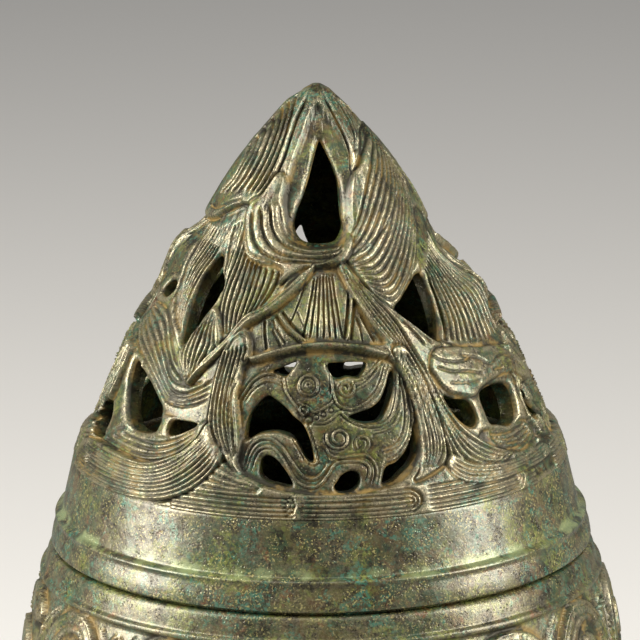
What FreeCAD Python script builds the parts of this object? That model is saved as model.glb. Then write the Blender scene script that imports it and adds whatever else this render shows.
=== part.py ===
import FreeCAD, Part

import math
import os

# Bronze hill censer: a stemmed bowl under a tall pierced lid shaped as a mountain.
# Sizes are millimetres. The origin is on the table under the axis, +Z is up, and the cave with
# the beast faces -Y. Angles are degrees round the axis from -Y, growing towards +X.

Vec = FreeCAD.Vector

# Driving heights
seat_z = 140.0          # the plane where the lid sits on the bowl
apex_z = 242.7          # tip of the mountain
bowl_base_z = 62.5      # flat pad under the bowl
foot_top_z = 24.0       # crown of the foot

# Driving radii
seat_r = 60.0           # outer edge of the lid's rim
belly_r = 67.5          # widest part of the bowl
foot_r = 48.5           # outer edge of the foot

# Walls and clearances
lid_wall = 3.2          # behind the recessed ground
relief = 1.3            # peaks stand this proud of the recessed ground
raised = 0.8            # cave frames, folds and the bowl's figures stand this proud of the surface
rim_wall = 3.4          # the lid's rim band
bowl_wall = 3.0
foot_wall = 3.5
lip_gap = 0.4           # radial play of the lid over the bowl's lip
lip_height = 6.6
lip_wall = 2.6
shadow_gap = 0.6        # the lid's outer edge clears the bowl's shoulder by this much

# Plain collar of the lid
band_step_z = 147.6     # ledge between the lower and the upper plain band
collar_top_z = 159.5    # the pierced mountain starts here
collar_top_r = 54.3

# Fastening through foot, stem and bowl
rivet_r = 3.2
hole_r = 3.25
tenon_r = 7.0
socket_r = 7.05         # the tenons' holes in the bowl and the foot
pad_r = 16.0            # thick pad at the bottom of the bowl, round its hole
pad_t = 3.8
washer_r = 9.5
washer_t = 1.8
washer_chamfer = 0.4
head_r = 6.2
head_h = 3.0
head_round = 0.76       # where the dome's quarter point lies, as a share of its radius
head_flat_r = 1.4       # hammered flat on top of each dome

# The mountain's outline from the collar to the tip: radius, height, tilt of the outward normal
# above level in degrees. "arc" marks the middle of an arc.
mountain = [
    (collar_top_r, collar_top_z, 17),
    (44.0, 184.6, 29, "arc"),
    (31.2, 205.0, 38),
    (25.4, 210.8, 30),
    (17.6, 224.6, 33, "arc"),
    (10.2, 234.6, 41),
    (1.6, apex_z, 75),
]
prism_reach_in = 9.0    # opening cutters start this far inside the surface
prism_reach_out = 14.0


def line(a, b):
    return Part.LineSegment(Vec(a[0], 0, a[1]), Vec(b[0], 0, b[1])).toShape()


def arc(a, middle, b):
    return Part.Arc(Vec(a[0], 0, a[1]), Vec(middle[0], 0, middle[1]), Vec(b[0], 0, b[1])).toShape()


def turned(edges):
    """The solid that a closed outline of (radius, height) edges makes when it turns about Z."""
    face = Part.Face(Part.Wire(edges))
    solid = face.revolve(Vec(0, 0, 0), Vec(0, 0, 1), 360)
    return Part.Solid(solid.Shells[0]) if solid.ShapeType != "Solid" else solid


def chain(points):
    """Edges through (radius, height) points. A point that ends in "arc" is the middle of an arc."""
    edges = []
    i = 0
    while i < len(points) - 1:
        if points[i + 1][-1] == "arc":
            edges.append(arc(points[i], points[i + 1], points[i + 2]))
            i += 2
        else:
            edges.append(line(points[i], points[i + 1]))
            i += 1
    return edges


def closed(points):
    return chain(points + [points[0]])


def mountain_outline(inset):
    """The mountain's profile moved inwards along its normals."""
    outline = []
    for r, z, tilt, *kind in mountain:
        t = math.radians(tilt)
        outline.append((max(r - inset * math.cos(t), 0.0), z - inset * math.sin(t), *kind))
    return outline


def mountain_core(inset, lower_points):
    """Everything inside the mountain's inset profile, over lower_points that start on the axis."""
    outline = mountain_outline(inset)
    if outline[-1][0] > 0:
        outline.append((0.0, outline[-1][1]))
    return turned(closed(lower_points + outline))


profile = [(p.x, p.z) for p in Part.Wire(chain(mountain_outline(0.0))).discretize(160)]


def radius_at(z):
    """Outer radius of the mountain at a height, for laying outlines on it."""
    for (r0, z0), (r1, z1) in zip(profile, profile[1:]):
        if z <= z1:
            return r0 + (r1 - r0) * (z - z0) / (z1 - z0)
    return profile[-1][0]


def radial_prism(outline, radius=radius_at, reach_in=prism_reach_in):
    """A smooth closed outline of (angle, height) on a turned surface, driven through its wall.

    The outline is laid on the plane that faces its own middle angle, so round holes stay round.
    """
    middle = sum(a for a, z in outline) / len(outline)
    mean_r = sum(radius(z) for a, z in outline) / len(outline)
    m = math.radians(middle)
    outward = Vec(math.sin(m), -math.cos(m), 0)
    across = Vec(math.cos(m), math.sin(m), 0)
    points = []
    for a, z in outline:
        side = radius(z) * math.sin(math.radians(a - middle))
        points.append(outward * (mean_r - reach_in) + across * side + Vec(0, 0, z))
    curve = Part.BSplineCurve()
    curve.interpolate(points, PeriodicFlag=True)
    face = Part.Face(Part.Wire([curve.toShape()]))
    return face.extrude(outward * (reach_in + prism_reach_out))


# Openings round the beast in a cave, as (angle from the cave's middle, height)
cave_openings = {
    "before_the_chest": [(-20, 175.6), (-20.2, 179.5), (-18.8, 182.4), (-14.8, 184.5), (-11, 183.4), (-7, 181),
                         (-4.3, 178.8), (-2.6, 175.6), (-1.4, 171.7), (-2.6, 171.3), (-4.8, 173.4), (-7.2, 175.8),
                         (-10.5, 176.8), (-14, 176.9)],
    "under_the_raised_paw": [(-15, 170.4), (-14.3, 172.1), (-12.3, 172.5), (-9.8, 171), (-7.6, 168.6),
                             (-6.7, 167), (-8, 166.3), (-11, 166.8), (-13.8, 168.1)],
    "between_the_legs": [(3.3, 166.4), (4.3, 168.4), (6.4, 169.6), (8.8, 169.6), (9.8, 168.3), (9.2, 166.7),
                         (7.4, 165.3), (4.6, 165.1)],
    "behind_the_legs": [(15.1, 166.6), (15.8, 169.2), (17.5, 170.6), (21, 172.1), (24, 175.2), (25.2, 177),
                        (25, 174.2), (23.4, 170.6), (20.6, 168.2), (17.6, 166.5)],
    "over_the_trunk": [(2.7, 190.4), (4.6, 187.7), (8, 187.6), (12, 187.8), (14.8, 190.2), (12.6, 190.7),
                       (7, 190.8)],
    "under_the_trunk": [(7.6, 180.2), (10.4, 179.1), (14, 178.7), (17.4, 179.5), (20.2, 182.8), (22.4, 187.4),
                        (21.8, 188.2), (19.8, 185.8), (16.6, 183), (12.4, 181.3)],
    "behind_the_ear": [(-13.6, 189.4), (-10.5, 190), (-7.2, 190.8), (-8.6, 189.2), (-10.6, 188.5)],
}

# Openings in the valleys left and right of the front cave, and higher up, as (angle, height)
left_valley = {
    "low_wide": [(-66.5, 184.4), (-63, 186), (-57, 183.8), (-50.5, 180), (-47.2, 178.2), (-46.6, 175.8),
                 (-48.8, 173.7), (-54, 173), (-57.8, 174.2), (-61, 177.4)],
    "low_small": [(-43.3, 174.6), (-40.6, 174), (-36.5, 175.3), (-33.4, 176.9), (-37, 177.2), (-41.8, 176.6)],
}
right_valley = {
    "low_small": [(36, 181.6), (37.4, 178.6), (39.8, 175.9), (42.8, 174.9), (45.4, 175.4), (45.8, 177.8),
                  (44, 180.4), (40, 181.2)],
    "low_wide": [(49.2, 180.6), (48.8, 177.6), (50, 174.5), (53, 174), (57.4, 174.3), (60.6, 174.9),
                 (61.6, 178), (60, 180.8), (54.6, 181.6)],
}
upper_openings = {
    "left_slope": [(-49.4, 191.2), (-47, 193.6), (-45.4, 197), (-43.5, 200.2), (-43.2, 203.6), (-46, 206.4),
                   (-50.4, 208), (-54.6, 206.6), (-55.2, 202.6), (-53.6, 198), (-51.6, 194)],
    "left_small": [(-74, 199.4), (-71.5, 197.8), (-68, 198.4), (-66.4, 200.2), (-69, 201.8), (-72.6, 201.4)],
    "right_slope": [(29.8, 199.6), (36, 202.2), (43, 204.8), (48.4, 206), (51.8, 204.2), (50, 200), (46.4, 195.8),
                    (42.6, 193), (38.6, 193.6), (33.8, 196.4)],
    "summit": [(3, 233.2), (11.6, 230.8), (18.2, 225.2), (17, 221.8), (15.9, 216.2), (9, 213.1), (0, 212.8),
               (-7, 213.1), (-15.2, 215.6), (-16, 217.4), (-11.4, 222.6), (-5.4, 228.8), (-1.4, 231.8)],
    "pleat_window": [(183.6, 199.4), (186, 203.4), (188.8, 206.6), (191.6, 203.4), (193.4, 199.6), (188.4, 198.2)],
    "far_left": [(-76.6, 168.6), (-71.6, 167.6), (-68.4, 169.6), (-67.8, 173.4), (-70.2, 176), (-74.6, 175.6),
                 (-77, 172.4)],
    "far_right": [(66.4, 172.4), (69.2, 171.4), (72.6, 172.8), (73.4, 175.6), (71.4, 178), (67.6, 177.6),
                  (65.8, 175.4)],
}
cave_middles = [0.0, 98.0, 180.0, -101.0]    # where the four caves face
mirrored_caves = [98.0, -101.0]              # the side caves hold the beast the other way round
left_valley_middle = -48.0
right_valley_middle = 47.0
left_slope_middle = -49.0
right_slope_middle = 40.0
back_left_valley = (139.2, 0.50)             # middle and squeeze of the narrower valleys at the back
back_right_valley = (-141.0, 0.38)


def moved(outline, old_middle, new_middle, squeeze=1.0):
    """An outline slid round the mountain, and narrowed by squeeze. A negative squeeze mirrors it."""
    return [(new_middle + (a - old_middle) * squeeze, z) for a, z in outline]


def all_openings():
    found = []
    for middle in cave_middles:
        way = -1.0 if middle in mirrored_caves else 1.0
        found += [moved(o, 0.0, middle, way) for o in cave_openings.values()]
    found += list(left_valley.values()) + list(right_valley.values())
    found += [moved(o, left_valley_middle, *back_left_valley) for o in left_valley.values()]
    found += [moved(o, right_valley_middle, *back_right_valley) for o in right_valley.values()]
    found += list(upper_openings.values())
    found.append(moved(upper_openings["right_slope"], right_slope_middle, 130.0))
    found.append(moved(upper_openings["left_slope"], left_slope_middle, -137.0))
    return found


# Recessed fields between the raised peaks, as (angle from the middle, height)
cave_field = [(-22, 189.4), (-14, 191.4), (0, 192.6), (14, 191.9), (21.2, 189.8), (24, 186.2), (26, 179), (25.8, 173.4),
              (22, 168.4), (15, 165.8), (4, 165), (-8, 165.6), (-16, 167.6), (-20.6, 171), (-20.6, 180), (-22.6, 185.6)]
fan_field = [(-18.6, 194), (-18, 198.6), (-10, 202), (-2, 205.8), (8, 206), (13, 202.4), (18, 196.4), (17.4, 194.4),
             (9, 195.4), (0, 195.8), (-9, 195.2)]
left_valley_field = [(-69.4, 186.6), (-60, 187.6), (-50, 182), (-44, 179.4), (-36, 179), (-32.6, 178), (-34.6, 175.2),
                     (-42, 172.8), (-56, 172), (-61.6, 174), (-66, 180)]
right_valley_field = [(34.4, 183.4), (42, 182.6), (54, 183), (62.4, 182), (63.6, 178), (61.6, 173.4), (54, 172.6),
                      (44, 173.4), (38.6, 175), (35.6, 179)]
left_slope_field = [(-48, 188.8), (-43.4, 194), (-40.6, 200), (-40.6, 205), (-46, 209), (-53, 210), (-58.6, 206.6),
                    (-57.6, 199), (-53, 192)]
summit_field = [(-11, 235), (0, 236.6), (12, 235.8), (21, 233.6), (27.4, 230.6), (28.2, 227.4), (24, 223.8),
                (20.6, 219.4), (18.8, 215.4), (13, 212), (0, 211), (-10, 211.6), (-16.6, 213.8), (-20, 217.4),
                (-22.4, 221.6), (-21.4, 226.4), (-17.6, 231)]
right_slope_field = [(26.6, 200), (36, 204), (46, 207), (53, 207.8), (56, 204), (52.6, 197), (45, 191.4), (39, 191.8),
                     (32, 196)]


def all_fields():
    found = []
    for middle in cave_middles:
        way = -1.0 if middle in mirrored_caves else 1.0
        found += [moved(cave_field, 0.0, middle, way), moved(fan_field, 0.0, middle, way)]
    found += [left_valley_field, right_valley_field, left_slope_field, right_slope_field, summit_field]
    found.append(moved(left_valley_field, left_valley_middle, *back_left_valley))
    found.append(moved(right_valley_field, right_valley_middle, *back_right_valley))
    found.append(moved(right_slope_field, right_slope_middle, 130.0))
    found.append(moved(left_slope_field, left_slope_middle, -137.0))
    return found


# Raised forms on the mountain, as (angle from the middle, height). The recessed fields trim them,
# and a groove at least 1 mm wide stays between them.
cave_frame = [(-26.5, 168.4), (-29.6, 172.4), (-31, 177), (-31.4, 183), (-31.6, 188), (-30.8, 192.4), (-28.4, 195.2),
              (-25, 196.6), (-20, 196.4), (-10, 196.8), (0, 197.4), (9, 197), (16, 196), (22, 194.2), (27.8, 192.2),
              (30.6, 187), (32, 181.6), (32.8, 176), (32.4, 171.4), (30.6, 168.4), (26, 166.2), (20, 164.7),
              (14, 163.8), (4, 163.3), (-8, 163.8), (-16, 165.3), (-22, 166.6)]
upper_fold = [(10, 206.2), (12, 207.4), (15.6, 206.8), (21.4, 204.8), (29.4, 201), (37.4, 196.4), (42.6, 192.4),
              (40.6, 190.6), (37, 188.4), (34, 186.6), (32.6, 188), (30.2, 192.2), (27, 194.2), (22, 195.8),
              (18, 197.6), (15, 200.2), (11.6, 203.4)]
lower_fold = [(34.6, 168.6), (35.6, 171.8), (38, 172.4), (42, 171.6), (46, 170.8), (51, 169.8), (57, 168.8),
              (62, 168.2), (62.6, 166.6), (58, 165.4), (48, 164.8), (40, 165), (35.4, 166.2)]
left_swirl = [(-65.6, 166.4), (-58, 167.5), (-48, 167.3), (-42, 168.5), (-36.8, 170.9), (-34, 174), (-32.8, 173.6),
              (-30.6, 169.4), (-28.6, 166.4), (-30.4, 164.6), (-33.6, 163.2), (-38.6, 161.8), (-45, 161),
              (-58, 160.8), (-65.4, 161.4), (-66.8, 163.8)]
cloud = [(44.4, 191), (48, 190.6), (54, 189.8), (59.6, 188.4), (61.4, 185.4), (60.2, 181.8), (54, 181.2),
         (48, 181), (42, 181.2), (37.6, 182), (36.6, 184.2), (38.4, 186.6), (41.4, 189.4)]
summit_fold = [(-43, 217.6), (-38, 220), (-32, 223.4), (-27, 224.6), (-21, 222), (-18, 218), (-13, 214.4), (-6, 213.4),
               (4, 213.2), (11, 213.8), (16, 215.8), (20.6, 216.2), (20.4, 212.6), (13, 209.2), (6, 208.4),
               (-3, 208.4), (-11, 208), (-18, 208.4), (-28, 209), (-36, 210.4), (-41, 213.6)]
left_loops = [(-35, 236), (-32.6, 231), (-34, 227.8), (-38, 225.2), (-44, 223), (-52, 220.6), (-61, 218),
              (-72, 215.4), (-86, 214.8), (-99, 217.4), (-105, 226), (-99, 234), (-80, 237.4), (-56, 237.8)]


def all_raised():
    found = []
    for middle in cave_middles:
        way = -1.0 if middle in mirrored_caves else 1.0
        found.append(moved(cave_frame, 0.0, middle, way))
    return found + [upper_fold, moved(upper_fold, 0.0, 180.0), lower_fold, left_swirl, cloud, summit_fold, left_loops]


def pads(outlines, radius, skin):
    """The parts of a slightly larger turned skin that lie under the given outlines."""
    found = []
    for outline in outlines:
        mean_r = sum(radius(z) for a, z in outline) / len(outline)
        found.append(skin.common(radial_prism(outline, radius, mean_r - 1.0)))
    return found


def make_lid():
    """The whole lid is one casting: plain stepped collar, then the pierced mountain with its beasts."""
    inner_r = seat_r - rim_wall
    collar = [(0.0, seat_z), (seat_r - 1.6, seat_z), (seat_r - 1.2, seat_z + shadow_gap),
              (seat_r, seat_z + shadow_gap + 0.4), (seat_r - 0.5, seat_z + 4.2, "arc"),
              (seat_r - 1.6, band_step_z - 0.6), (seat_r - 1.7, band_step_z), (seat_r - 2.7, band_step_z + 0.5),
              (56.0, 154.2, "arc")]
    outer = mountain_core(0.0, collar)
    mouth = [(0.0, seat_z - 1), (inner_r, seat_z - 1), (inner_r, seat_z + lip_height + 1),
             (inner_r - 2.6, seat_z + lip_height + 3.8)]
    hollow = mountain_core(lid_wall + relief, mouth)
    ground = mountain_core(relief, [(0.0, seat_z), (collar_top_r - relief, seat_z)])
    under = mountain_core(lid_wall / 2, [(0.0, seat_z), (collar_top_r - lid_wall, seat_z)])
    skin = mountain_core(-raised, [(0.0, seat_z), (collar_top_r + raised, seat_z)]).cut(under)
    lid = outer.fuse(pads(all_raised(), radius_at, skin)).cut(hollow)
    lid = lid.cut([radial_prism(f).cut(ground) for f in all_fields()])
    lid = lid.cut([radial_prism(o) for o in all_openings()])
    return lid.removeSplitter().Solids[0]


# Figures round the bowl, as (angle from the middle of a mask, height)
masks = (15.5, 135.5, 255.5)
relief_low_z = 101.8
relief_top_z = 132.8
mask_lobe = [(33.4, 104), (33.6, 112), (35, 120), (38, 127), (42.6, 131.4), (47.6, 132.6), (52.6, 130.8),
             (56.2, 125.4), (58, 117), (57.8, 109), (56.4, 103.4), (45, 102.6)]
mask_leaf = [(18.4, 131), (23.6, 132.2), (29.4, 131), (32.4, 127.4), (27.6, 125.8), (22.4, 127.6)]
mask_jaw = [(5.4, 103.2), (6, 111), (9, 118), (14.6, 122.6), (21.4, 122.6), (26.8, 118.4), (29.8, 112),
            (30.6, 104.6), (18, 102.6)]
mask_nose = [(-2.8, 103), (-2.4, 113), (-4.6, 122.6), (-3, 127.4), (0, 129.4), (3, 127.4), (4.6, 122.6), (2.4, 113),
             (2.8, 103), (0, 102.4)]


def bowl_radius_at(z):
    """Outer radius of the bowl in the relief zone."""
    share = (z - relief_low_z) / (relief_top_z - relief_low_z)
    return belly_r - 1.2 - 4.0 * share * share


def bowl_figures():
    """Three beast masks: on each side of a nose a jaw, a leaf and a large lobe that holds the eye."""
    outlines = []
    for middle in masks:
        outlines.append(moved(mask_nose, 0.0, middle))
        for way in (1.0, -1.0):
            outlines += [moved(o, 0.0, middle, way) for o in (mask_lobe, mask_leaf, mask_jaw)]
    deep = belly_r - 8.0
    skin = turned(closed([(deep, relief_low_z), (belly_r - 1.2 + raised, relief_low_z),
                          (belly_r - 1.6 + raised, 118.0, "arc"), (62.2 + raised, relief_top_z), (deep, relief_top_z)]))
    return pads(outlines, bowl_radius_at, skin)


def make_bowl():
    """Deep round bowl with a plain rim band, bead lines round the masks and an upright inner lip."""
    lip_r = seat_r - rim_wall - lip_gap
    lip_inner = lip_r - lip_wall
    lip_top = seat_z + lip_height
    inner_belly = belly_r - 1.6 - bowl_wall
    outside = [(socket_r, bowl_base_z), (pad_r, bowl_base_z), (pad_r + 0.6, bowl_base_z + 1.2),
               (48.6, 75.7, "arc"), (belly_r - 1.4, 98.0), (belly_r - 0.4, 98.8), (belly_r - 0.4, 100.4),
               (belly_r - 1.2, 101.2), (belly_r - 1.6, 118.0, "arc"), (61.9, 133.4), (62.5, 134.0), (62.2, 135.0),
               (61.1, 135.6), (seat_r + 0.3, seat_z - 0.6), (seat_r - 0.3, seat_z)]
    inside = [(lip_r, seat_z), (lip_r, lip_top - 0.6), (lip_r - 0.6, lip_top), (lip_inner + 0.6, lip_top),
              (lip_inner, lip_top - 0.6), (lip_inner, seat_z - 2.0), (59.6, 128.0), (inner_belly, 104.0),
              (46.4, 78.4, "arc"), (pad_r, bowl_base_z + pad_t), (socket_r, bowl_base_z + pad_t)]
    bowl = turned(closed(outside + inside))
    return bowl.fuse(bowl_figures()).removeSplitter().Solids[0]


def make_stem():
    """Short cast stem with a round knop between thin rings, and a tenon at each end."""
    low = foot_top_z
    top = bowl_base_z
    collar_r = 15.2
    ring_r = 10.2
    neck_r = 8.6
    outline = [(hole_r, low - foot_wall), (tenon_r, low - foot_wall), (tenon_r, low), (12.6, low), (12.6, low + 1.4),
               (9.6, low + 4.6, "arc"), (neck_r, low + 9.0), (ring_r, low + 9.4), (ring_r, low + 11.0),
               (ring_r - 1, low + 11.4), (15.2, low + 18.0, "arc"), (ring_r - 1, low + 24.6), (ring_r, low + 25.0),
               (ring_r, low + 26.6), (neck_r, low + 27.0), (10.4, low + 33.4, "arc"), (collar_r, top - 1.8),
               (collar_r, top), (tenon_r, top), (tenon_r, top + pad_t), (hole_r, top + pad_t)]
    return turned(closed(outline))


def make_foot():
    """Low domed foot with a plain upright edge, hollow underneath."""
    crown = foot_top_z
    outside = [(foot_r - 0.5, 0.0), (foot_r, 0.6), (foot_r - 0.3, 4.6), (foot_r - 1.2, 5.4), (foot_r - 3.2, 5.8),
               (33.0, 16.6, "arc"), (16.4, crown - 2.6), (15.6, crown - 1.0), (14.6, crown)]
    inside = [(socket_r, crown), (socket_r, crown - foot_wall), (13.4, crown - foot_wall), (31.4, 13.6, "arc"),
              (foot_r - 6.0, 3.4), (foot_r - 4.0, 2.6), (foot_r - 3.6, 0.0)]
    return turned(closed(outside + inside))


upper_washer_z = bowl_base_z + pad_t
lower_washer_z = foot_top_z - foot_wall - washer_t


def make_rivet():
    """Wrought iron tie rivet through foot, stem and bowl, with a hammered dome at each end."""
    low = lower_washer_z
    top = upper_washer_z + washer_t
    quarter_r = head_r * head_round
    quarter_h = head_h * head_round
    outline = [(0.0, low - head_h), (head_flat_r, low - head_h), (quarter_r, low - quarter_h, "arc"), (head_r, low),
               (rivet_r, low), (rivet_r, top), (head_r, top), (quarter_r, top + quarter_h, "arc"),
               (head_flat_r, top + head_h), (0.0, top + head_h)]
    return turned(closed(outline))


def make_washer(base_z):
    """Flat iron washer with its outer corners broken."""
    top = base_z + washer_t
    edge = washer_r - washer_chamfer
    outline = [(hole_r, base_z), (edge, base_z), (washer_r, base_z + washer_chamfer), (washer_r, top - washer_chamfer),
               (edge, top), (hole_r, top)]
    return turned(closed(outline))


def main():
    os.makedirs("parts", exist_ok=True)
    pieces = {
        "lid": make_lid(),
        "bowl": make_bowl(),
        "stem": make_stem(),
        "foot": make_foot(),
        "tie_rivet": make_rivet(),
        "upper_washer": make_washer(upper_washer_z),
        "lower_washer": make_washer(lower_washer_z),
    }
    for name, shape in pieces.items():
        box = shape.BoundBox
        print(name, shape.ShapeType, len(shape.Solids), "solids", len(shape.Faces), "faces valid", shape.isValid(),
              "volume", round(shape.Volume), "z", round(box.ZMin, 2), round(box.ZMax, 2), "x", round(box.XLength, 2))
        shape.exportStep("parts/" + name + ".step")


main()
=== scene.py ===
import math

import bpy
import numpy as np
from mathutils import Matrix, Vector


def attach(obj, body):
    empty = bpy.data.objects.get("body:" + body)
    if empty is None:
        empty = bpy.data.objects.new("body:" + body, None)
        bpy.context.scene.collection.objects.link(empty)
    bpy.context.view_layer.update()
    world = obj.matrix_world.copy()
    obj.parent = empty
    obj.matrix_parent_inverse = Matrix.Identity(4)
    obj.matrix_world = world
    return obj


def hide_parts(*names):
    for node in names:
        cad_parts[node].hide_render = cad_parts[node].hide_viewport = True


# Bronze hill censer: the cast relief, the pierced mountain and the patina.
# Places on the surface are written as (degrees round the axis from the front, height in mm).
# Depths and widths are in mm. Everything becomes metres where the meshes are made.

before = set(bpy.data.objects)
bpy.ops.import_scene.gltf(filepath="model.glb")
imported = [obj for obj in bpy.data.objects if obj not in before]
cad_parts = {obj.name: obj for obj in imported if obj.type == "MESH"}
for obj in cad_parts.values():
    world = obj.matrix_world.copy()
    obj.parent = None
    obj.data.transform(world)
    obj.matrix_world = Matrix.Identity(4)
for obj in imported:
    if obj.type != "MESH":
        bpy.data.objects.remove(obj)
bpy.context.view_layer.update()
fine = 1.0
mm = 0.001
relief = {"lineDepth": 1.5, "rimDepth": 1.3, "beadHeight": 1.7, "wobble": 0.10}


# Small helpers

def smoothLine(points, closed=False, cuts=5):
    """Rounded line through given points."""
    p = np.array(points, float)
    if closed:
        q = np.vstack([p[-1], p, p[:2]])
    else:
        q = np.vstack([2 * p[0] - p[1], p, 2 * p[-1] - p[-2]])
    a, b, c, d = (v[:, None, :] for v in (q[:-3], q[1:-2], q[2:-1], q[3:]))
    t = np.linspace(0, 1, cuts, endpoint=False)[None, :, None]
    line = 0.5 * (2 * b + (c - a) * t + (2 * a - 5 * b + 4 * c - d) * t ** 2
                  + (3 * b - a - 3 * c + d) * t ** 3)
    line = line.reshape(-1, p.shape[1])
    return np.vstack([line, p[:1] if closed else p[-1:]])


def spread(line, count):
    """The same line cut into count evenly spaced points."""
    steps = np.hypot(*np.diff(line, axis=0).T)
    along = np.concatenate([[0], np.cumsum(steps)])
    at = np.linspace(0, along[-1], count)
    return np.stack([np.interp(at, along, line[:, k]) for k in range(line.shape[1])], 1)


def step(x):
    x = np.clip(x, 0, 1)
    return x * x * (3 - 2 * x)


def waves(angle, height, seed, sizes, cell=(24, 16)):
    """Smooth lumps over the surface: a lattice of random values, joined softly, at several sizes."""
    rng = np.random.default_rng(seed)
    total = np.zeros_like(angle)
    for k, size in enumerate(sizes):
        across = cell[0] * 2 ** k
        up = cell[1] * 2 ** k
        lattice = rng.uniform(-1, 1, (up + 2, across))
        x = np.mod(angle / 360.0, 1.0) * across
        y = np.clip(height / 250.0, 0, 1) * up
        i, j = x.astype(int), y.astype(int)
        u, v = step(x - i), step(y - j)
        i0, i1 = i % across, (i + 1) % across
        low = lattice[j, i0] * (1 - u) + lattice[j, i1] * u
        high = lattice[j + 1, i0] * (1 - u) + lattice[j + 1, i1] * u
        total += size * (low * (1 - v) + high * v)
    return total


# Surfaces of revolution with a carved outside

class Carving:
    """A set of surface points (angle, height) that lines and fields are cut into, in mm of depth."""

    def __init__(self, profile, angle, height):
        self.profile = profile
        self.angle = angle.copy()
        self.height = height.copy()
        self.depth = np.zeros_like(angle)
        self.measure()

    def measure(self):
        z, r = self.profile[:, 1], self.profile[:, 0]
        self.radius = np.interp(self.height, z, r)
        rise = np.gradient(r, z)
        slope = np.interp(self.height, z, rise)
        self.slant = np.sqrt(1 + slope ** 2)
        self.perDegree = np.maximum(self.radius, 0.5) * math.pi / 180

    def near(self, line, reach):
        """Points within reach of a line's box, and the line seen from each one's side of the seam."""
        middle = (line[:, 0].min() + line[:, 0].max()) / 2
        half = (line[:, 0].max() - line[:, 0].min()) / 2
        off = np.abs(np.mod(self.angle - middle + 180, 360) - 180)
        inside = off < half + reach / self.perDegree
        inside &= (self.height > line[:, 1].min() - reach) & (self.height < line[:, 1].max() + reach)
        return np.nonzero(inside)[0], middle

    def away(self, at, line, middle):
        """Distance to a line in mm, the way to its nearest point, and how far along the line that is."""
        a = np.mod(self.angle[at] - middle + 180, 360) - 180 + middle
        k, s = self.perDegree[at][:, None], self.slant[at][:, None]
        x = (line[None, :, 0] - a[:, None]) * k
        y = (line[None, :, 1] - self.height[at][:, None]) * s
        dx, dy = np.diff(x, axis=1), np.diff(y, axis=1)
        x, y = x[:, :-1], y[:, :-1]
        t = np.clip(-(x * dx + y * dy) / (dx * dx + dy * dy + 1e-12), 0, 1)
        px, py = x + t * dx, y + t * dy
        d2 = px * px + py * py
        best = d2.argmin(1)
        rows = np.arange(len(at))
        way = np.stack([px[rows, best] / k[:, 0], py[rows, best] / s[:, 0]], 1)
        along = (best + t[rows, best]) / dx.shape[1]
        return np.sqrt(d2[rows, best]), way, along

    def inside(self, at, line, middle):
        """Which points lie inside a closed line, by counting crossings."""
        a = np.mod(self.angle[at] - middle + 180, 360) - 180 + middle
        z = self.height[at][:, None]
        x0, z0, x1, z1 = line[:-1, 0], line[:-1, 1], line[1:, 0], line[1:, 1]
        spans = (z0[None] > z) != (z1[None] > z)
        level = np.where(z1 == z0, 1e-9, z1 - z0)
        cross = x0[None] + (z - z0[None]) / level[None] * (x1 - x0)[None]
        return (spans & (cross > a[:, None])).sum(1) % 2 == 1

    def signed(self, outline, reach):
        """Points near a closed outline and their distance to it, negative inside."""
        line = smoothLine(outline, closed=True)
        at, middle = self.near(line, reach)
        if not len(at):
            return at, np.zeros(0), np.zeros((0, 2))
        d, way, _ = self.away(at, line, middle)
        return at, np.where(self.inside(at, line, middle), -d, d), way

    def stroke(self, target, points, width, size, kind="cut", ready=False, taper=0.06):
        """One line. "cut" is a V with rounded shoulders, "bead" a thread between two fine cuts."""
        line = np.asarray(points, float) if ready else smoothLine(points)
        at, middle = self.near(line, width * 2.2)
        if not len(at):
            return
        d, _, along = self.away(at, line, middle)
        ends = step(np.minimum(along, 1 - along) / taper) if taper else 1.0
        if kind == "cut":
            shape = -size * relief["lineDepth"] * (1 - np.sin(np.clip(d / width, 0, 1) * math.pi / 2)) * ends
            target[at] = np.minimum(target[at], shape)
        else:
            thread = np.exp(-(d / (0.42 * width)) ** 2)
            beside = -0.9 * np.exp(-((d - width) / (0.4 * width)) ** 2)
            target[at] += (thread + beside) * size * relief["beadHeight"] * ends

    def layer(self, outline=None, level=0.0, edge=0.25, rim=0.0, crown=0.0, bundles=(), cuts=(), beads=(),
              dots=(),
              insets=()):
        """A field laid over what is there: its own level, its own lines, and a cut round its rim."""
        marks = np.zeros_like(self.depth)
        for guides, count, size, width in bundles:
            ribs = np.stack([spread(smoothLine(g), 26) for g in guides])
            where = np.linspace(0, len(guides) - 1, count)
            low = np.minimum(where.astype(int), len(guides) - 2)
            part = (where - low)[:, None, None]
            run = np.linspace(0, 9, 26)
            for k, rib in enumerate(ribs[low] * (1 - part) + ribs[low + 1] * part):
                sway = relief["wobble"] * np.sin(run + 2.4 * k) * np.sin(0.7 * run + k)
                deeper = 1 + 0.25 * math.sin(3.1 * k)
                self.stroke(marks, rib + np.stack([sway * 1.3, sway], 1), width, size * deeper, ready=True)
        for points, width, size in cuts:
            self.stroke(marks, points, width, size)
        for points, width, size in beads:
            self.stroke(marks, points, width, size, kind="bead", taper=0.04)
        for (a, z), r, size in dots:
            ring = [(a + 0.02 * math.cos(k), z + 0.02 * math.sin(k)) for k in (0, 2, 4)]
            self.stroke(marks, ring, r, size, kind="bead", taper=0)
        if outline is None:
            self.depth += marks
            return
        at, d, _ = self.signed(outline, 3.0)
        if not len(at):
            return
        inner = step(0.5 - d / (2 * edge))
        fresh = level + marks[at] + crown * step(-d / 3.0)
        for inward, width, size in insets:
            fresh = fresh - size * (1 - np.sin(np.clip(np.abs(d + inward) / width, 0, 1) * math.pi / 2))
        self.depth[at] = self.depth[at] * (1 - inner) + fresh * inner
        if rim:
            self.depth[at] -= rim * relief["rimDepth"] * np.exp(-((d - 0.15) / 0.32) ** 2)


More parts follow.
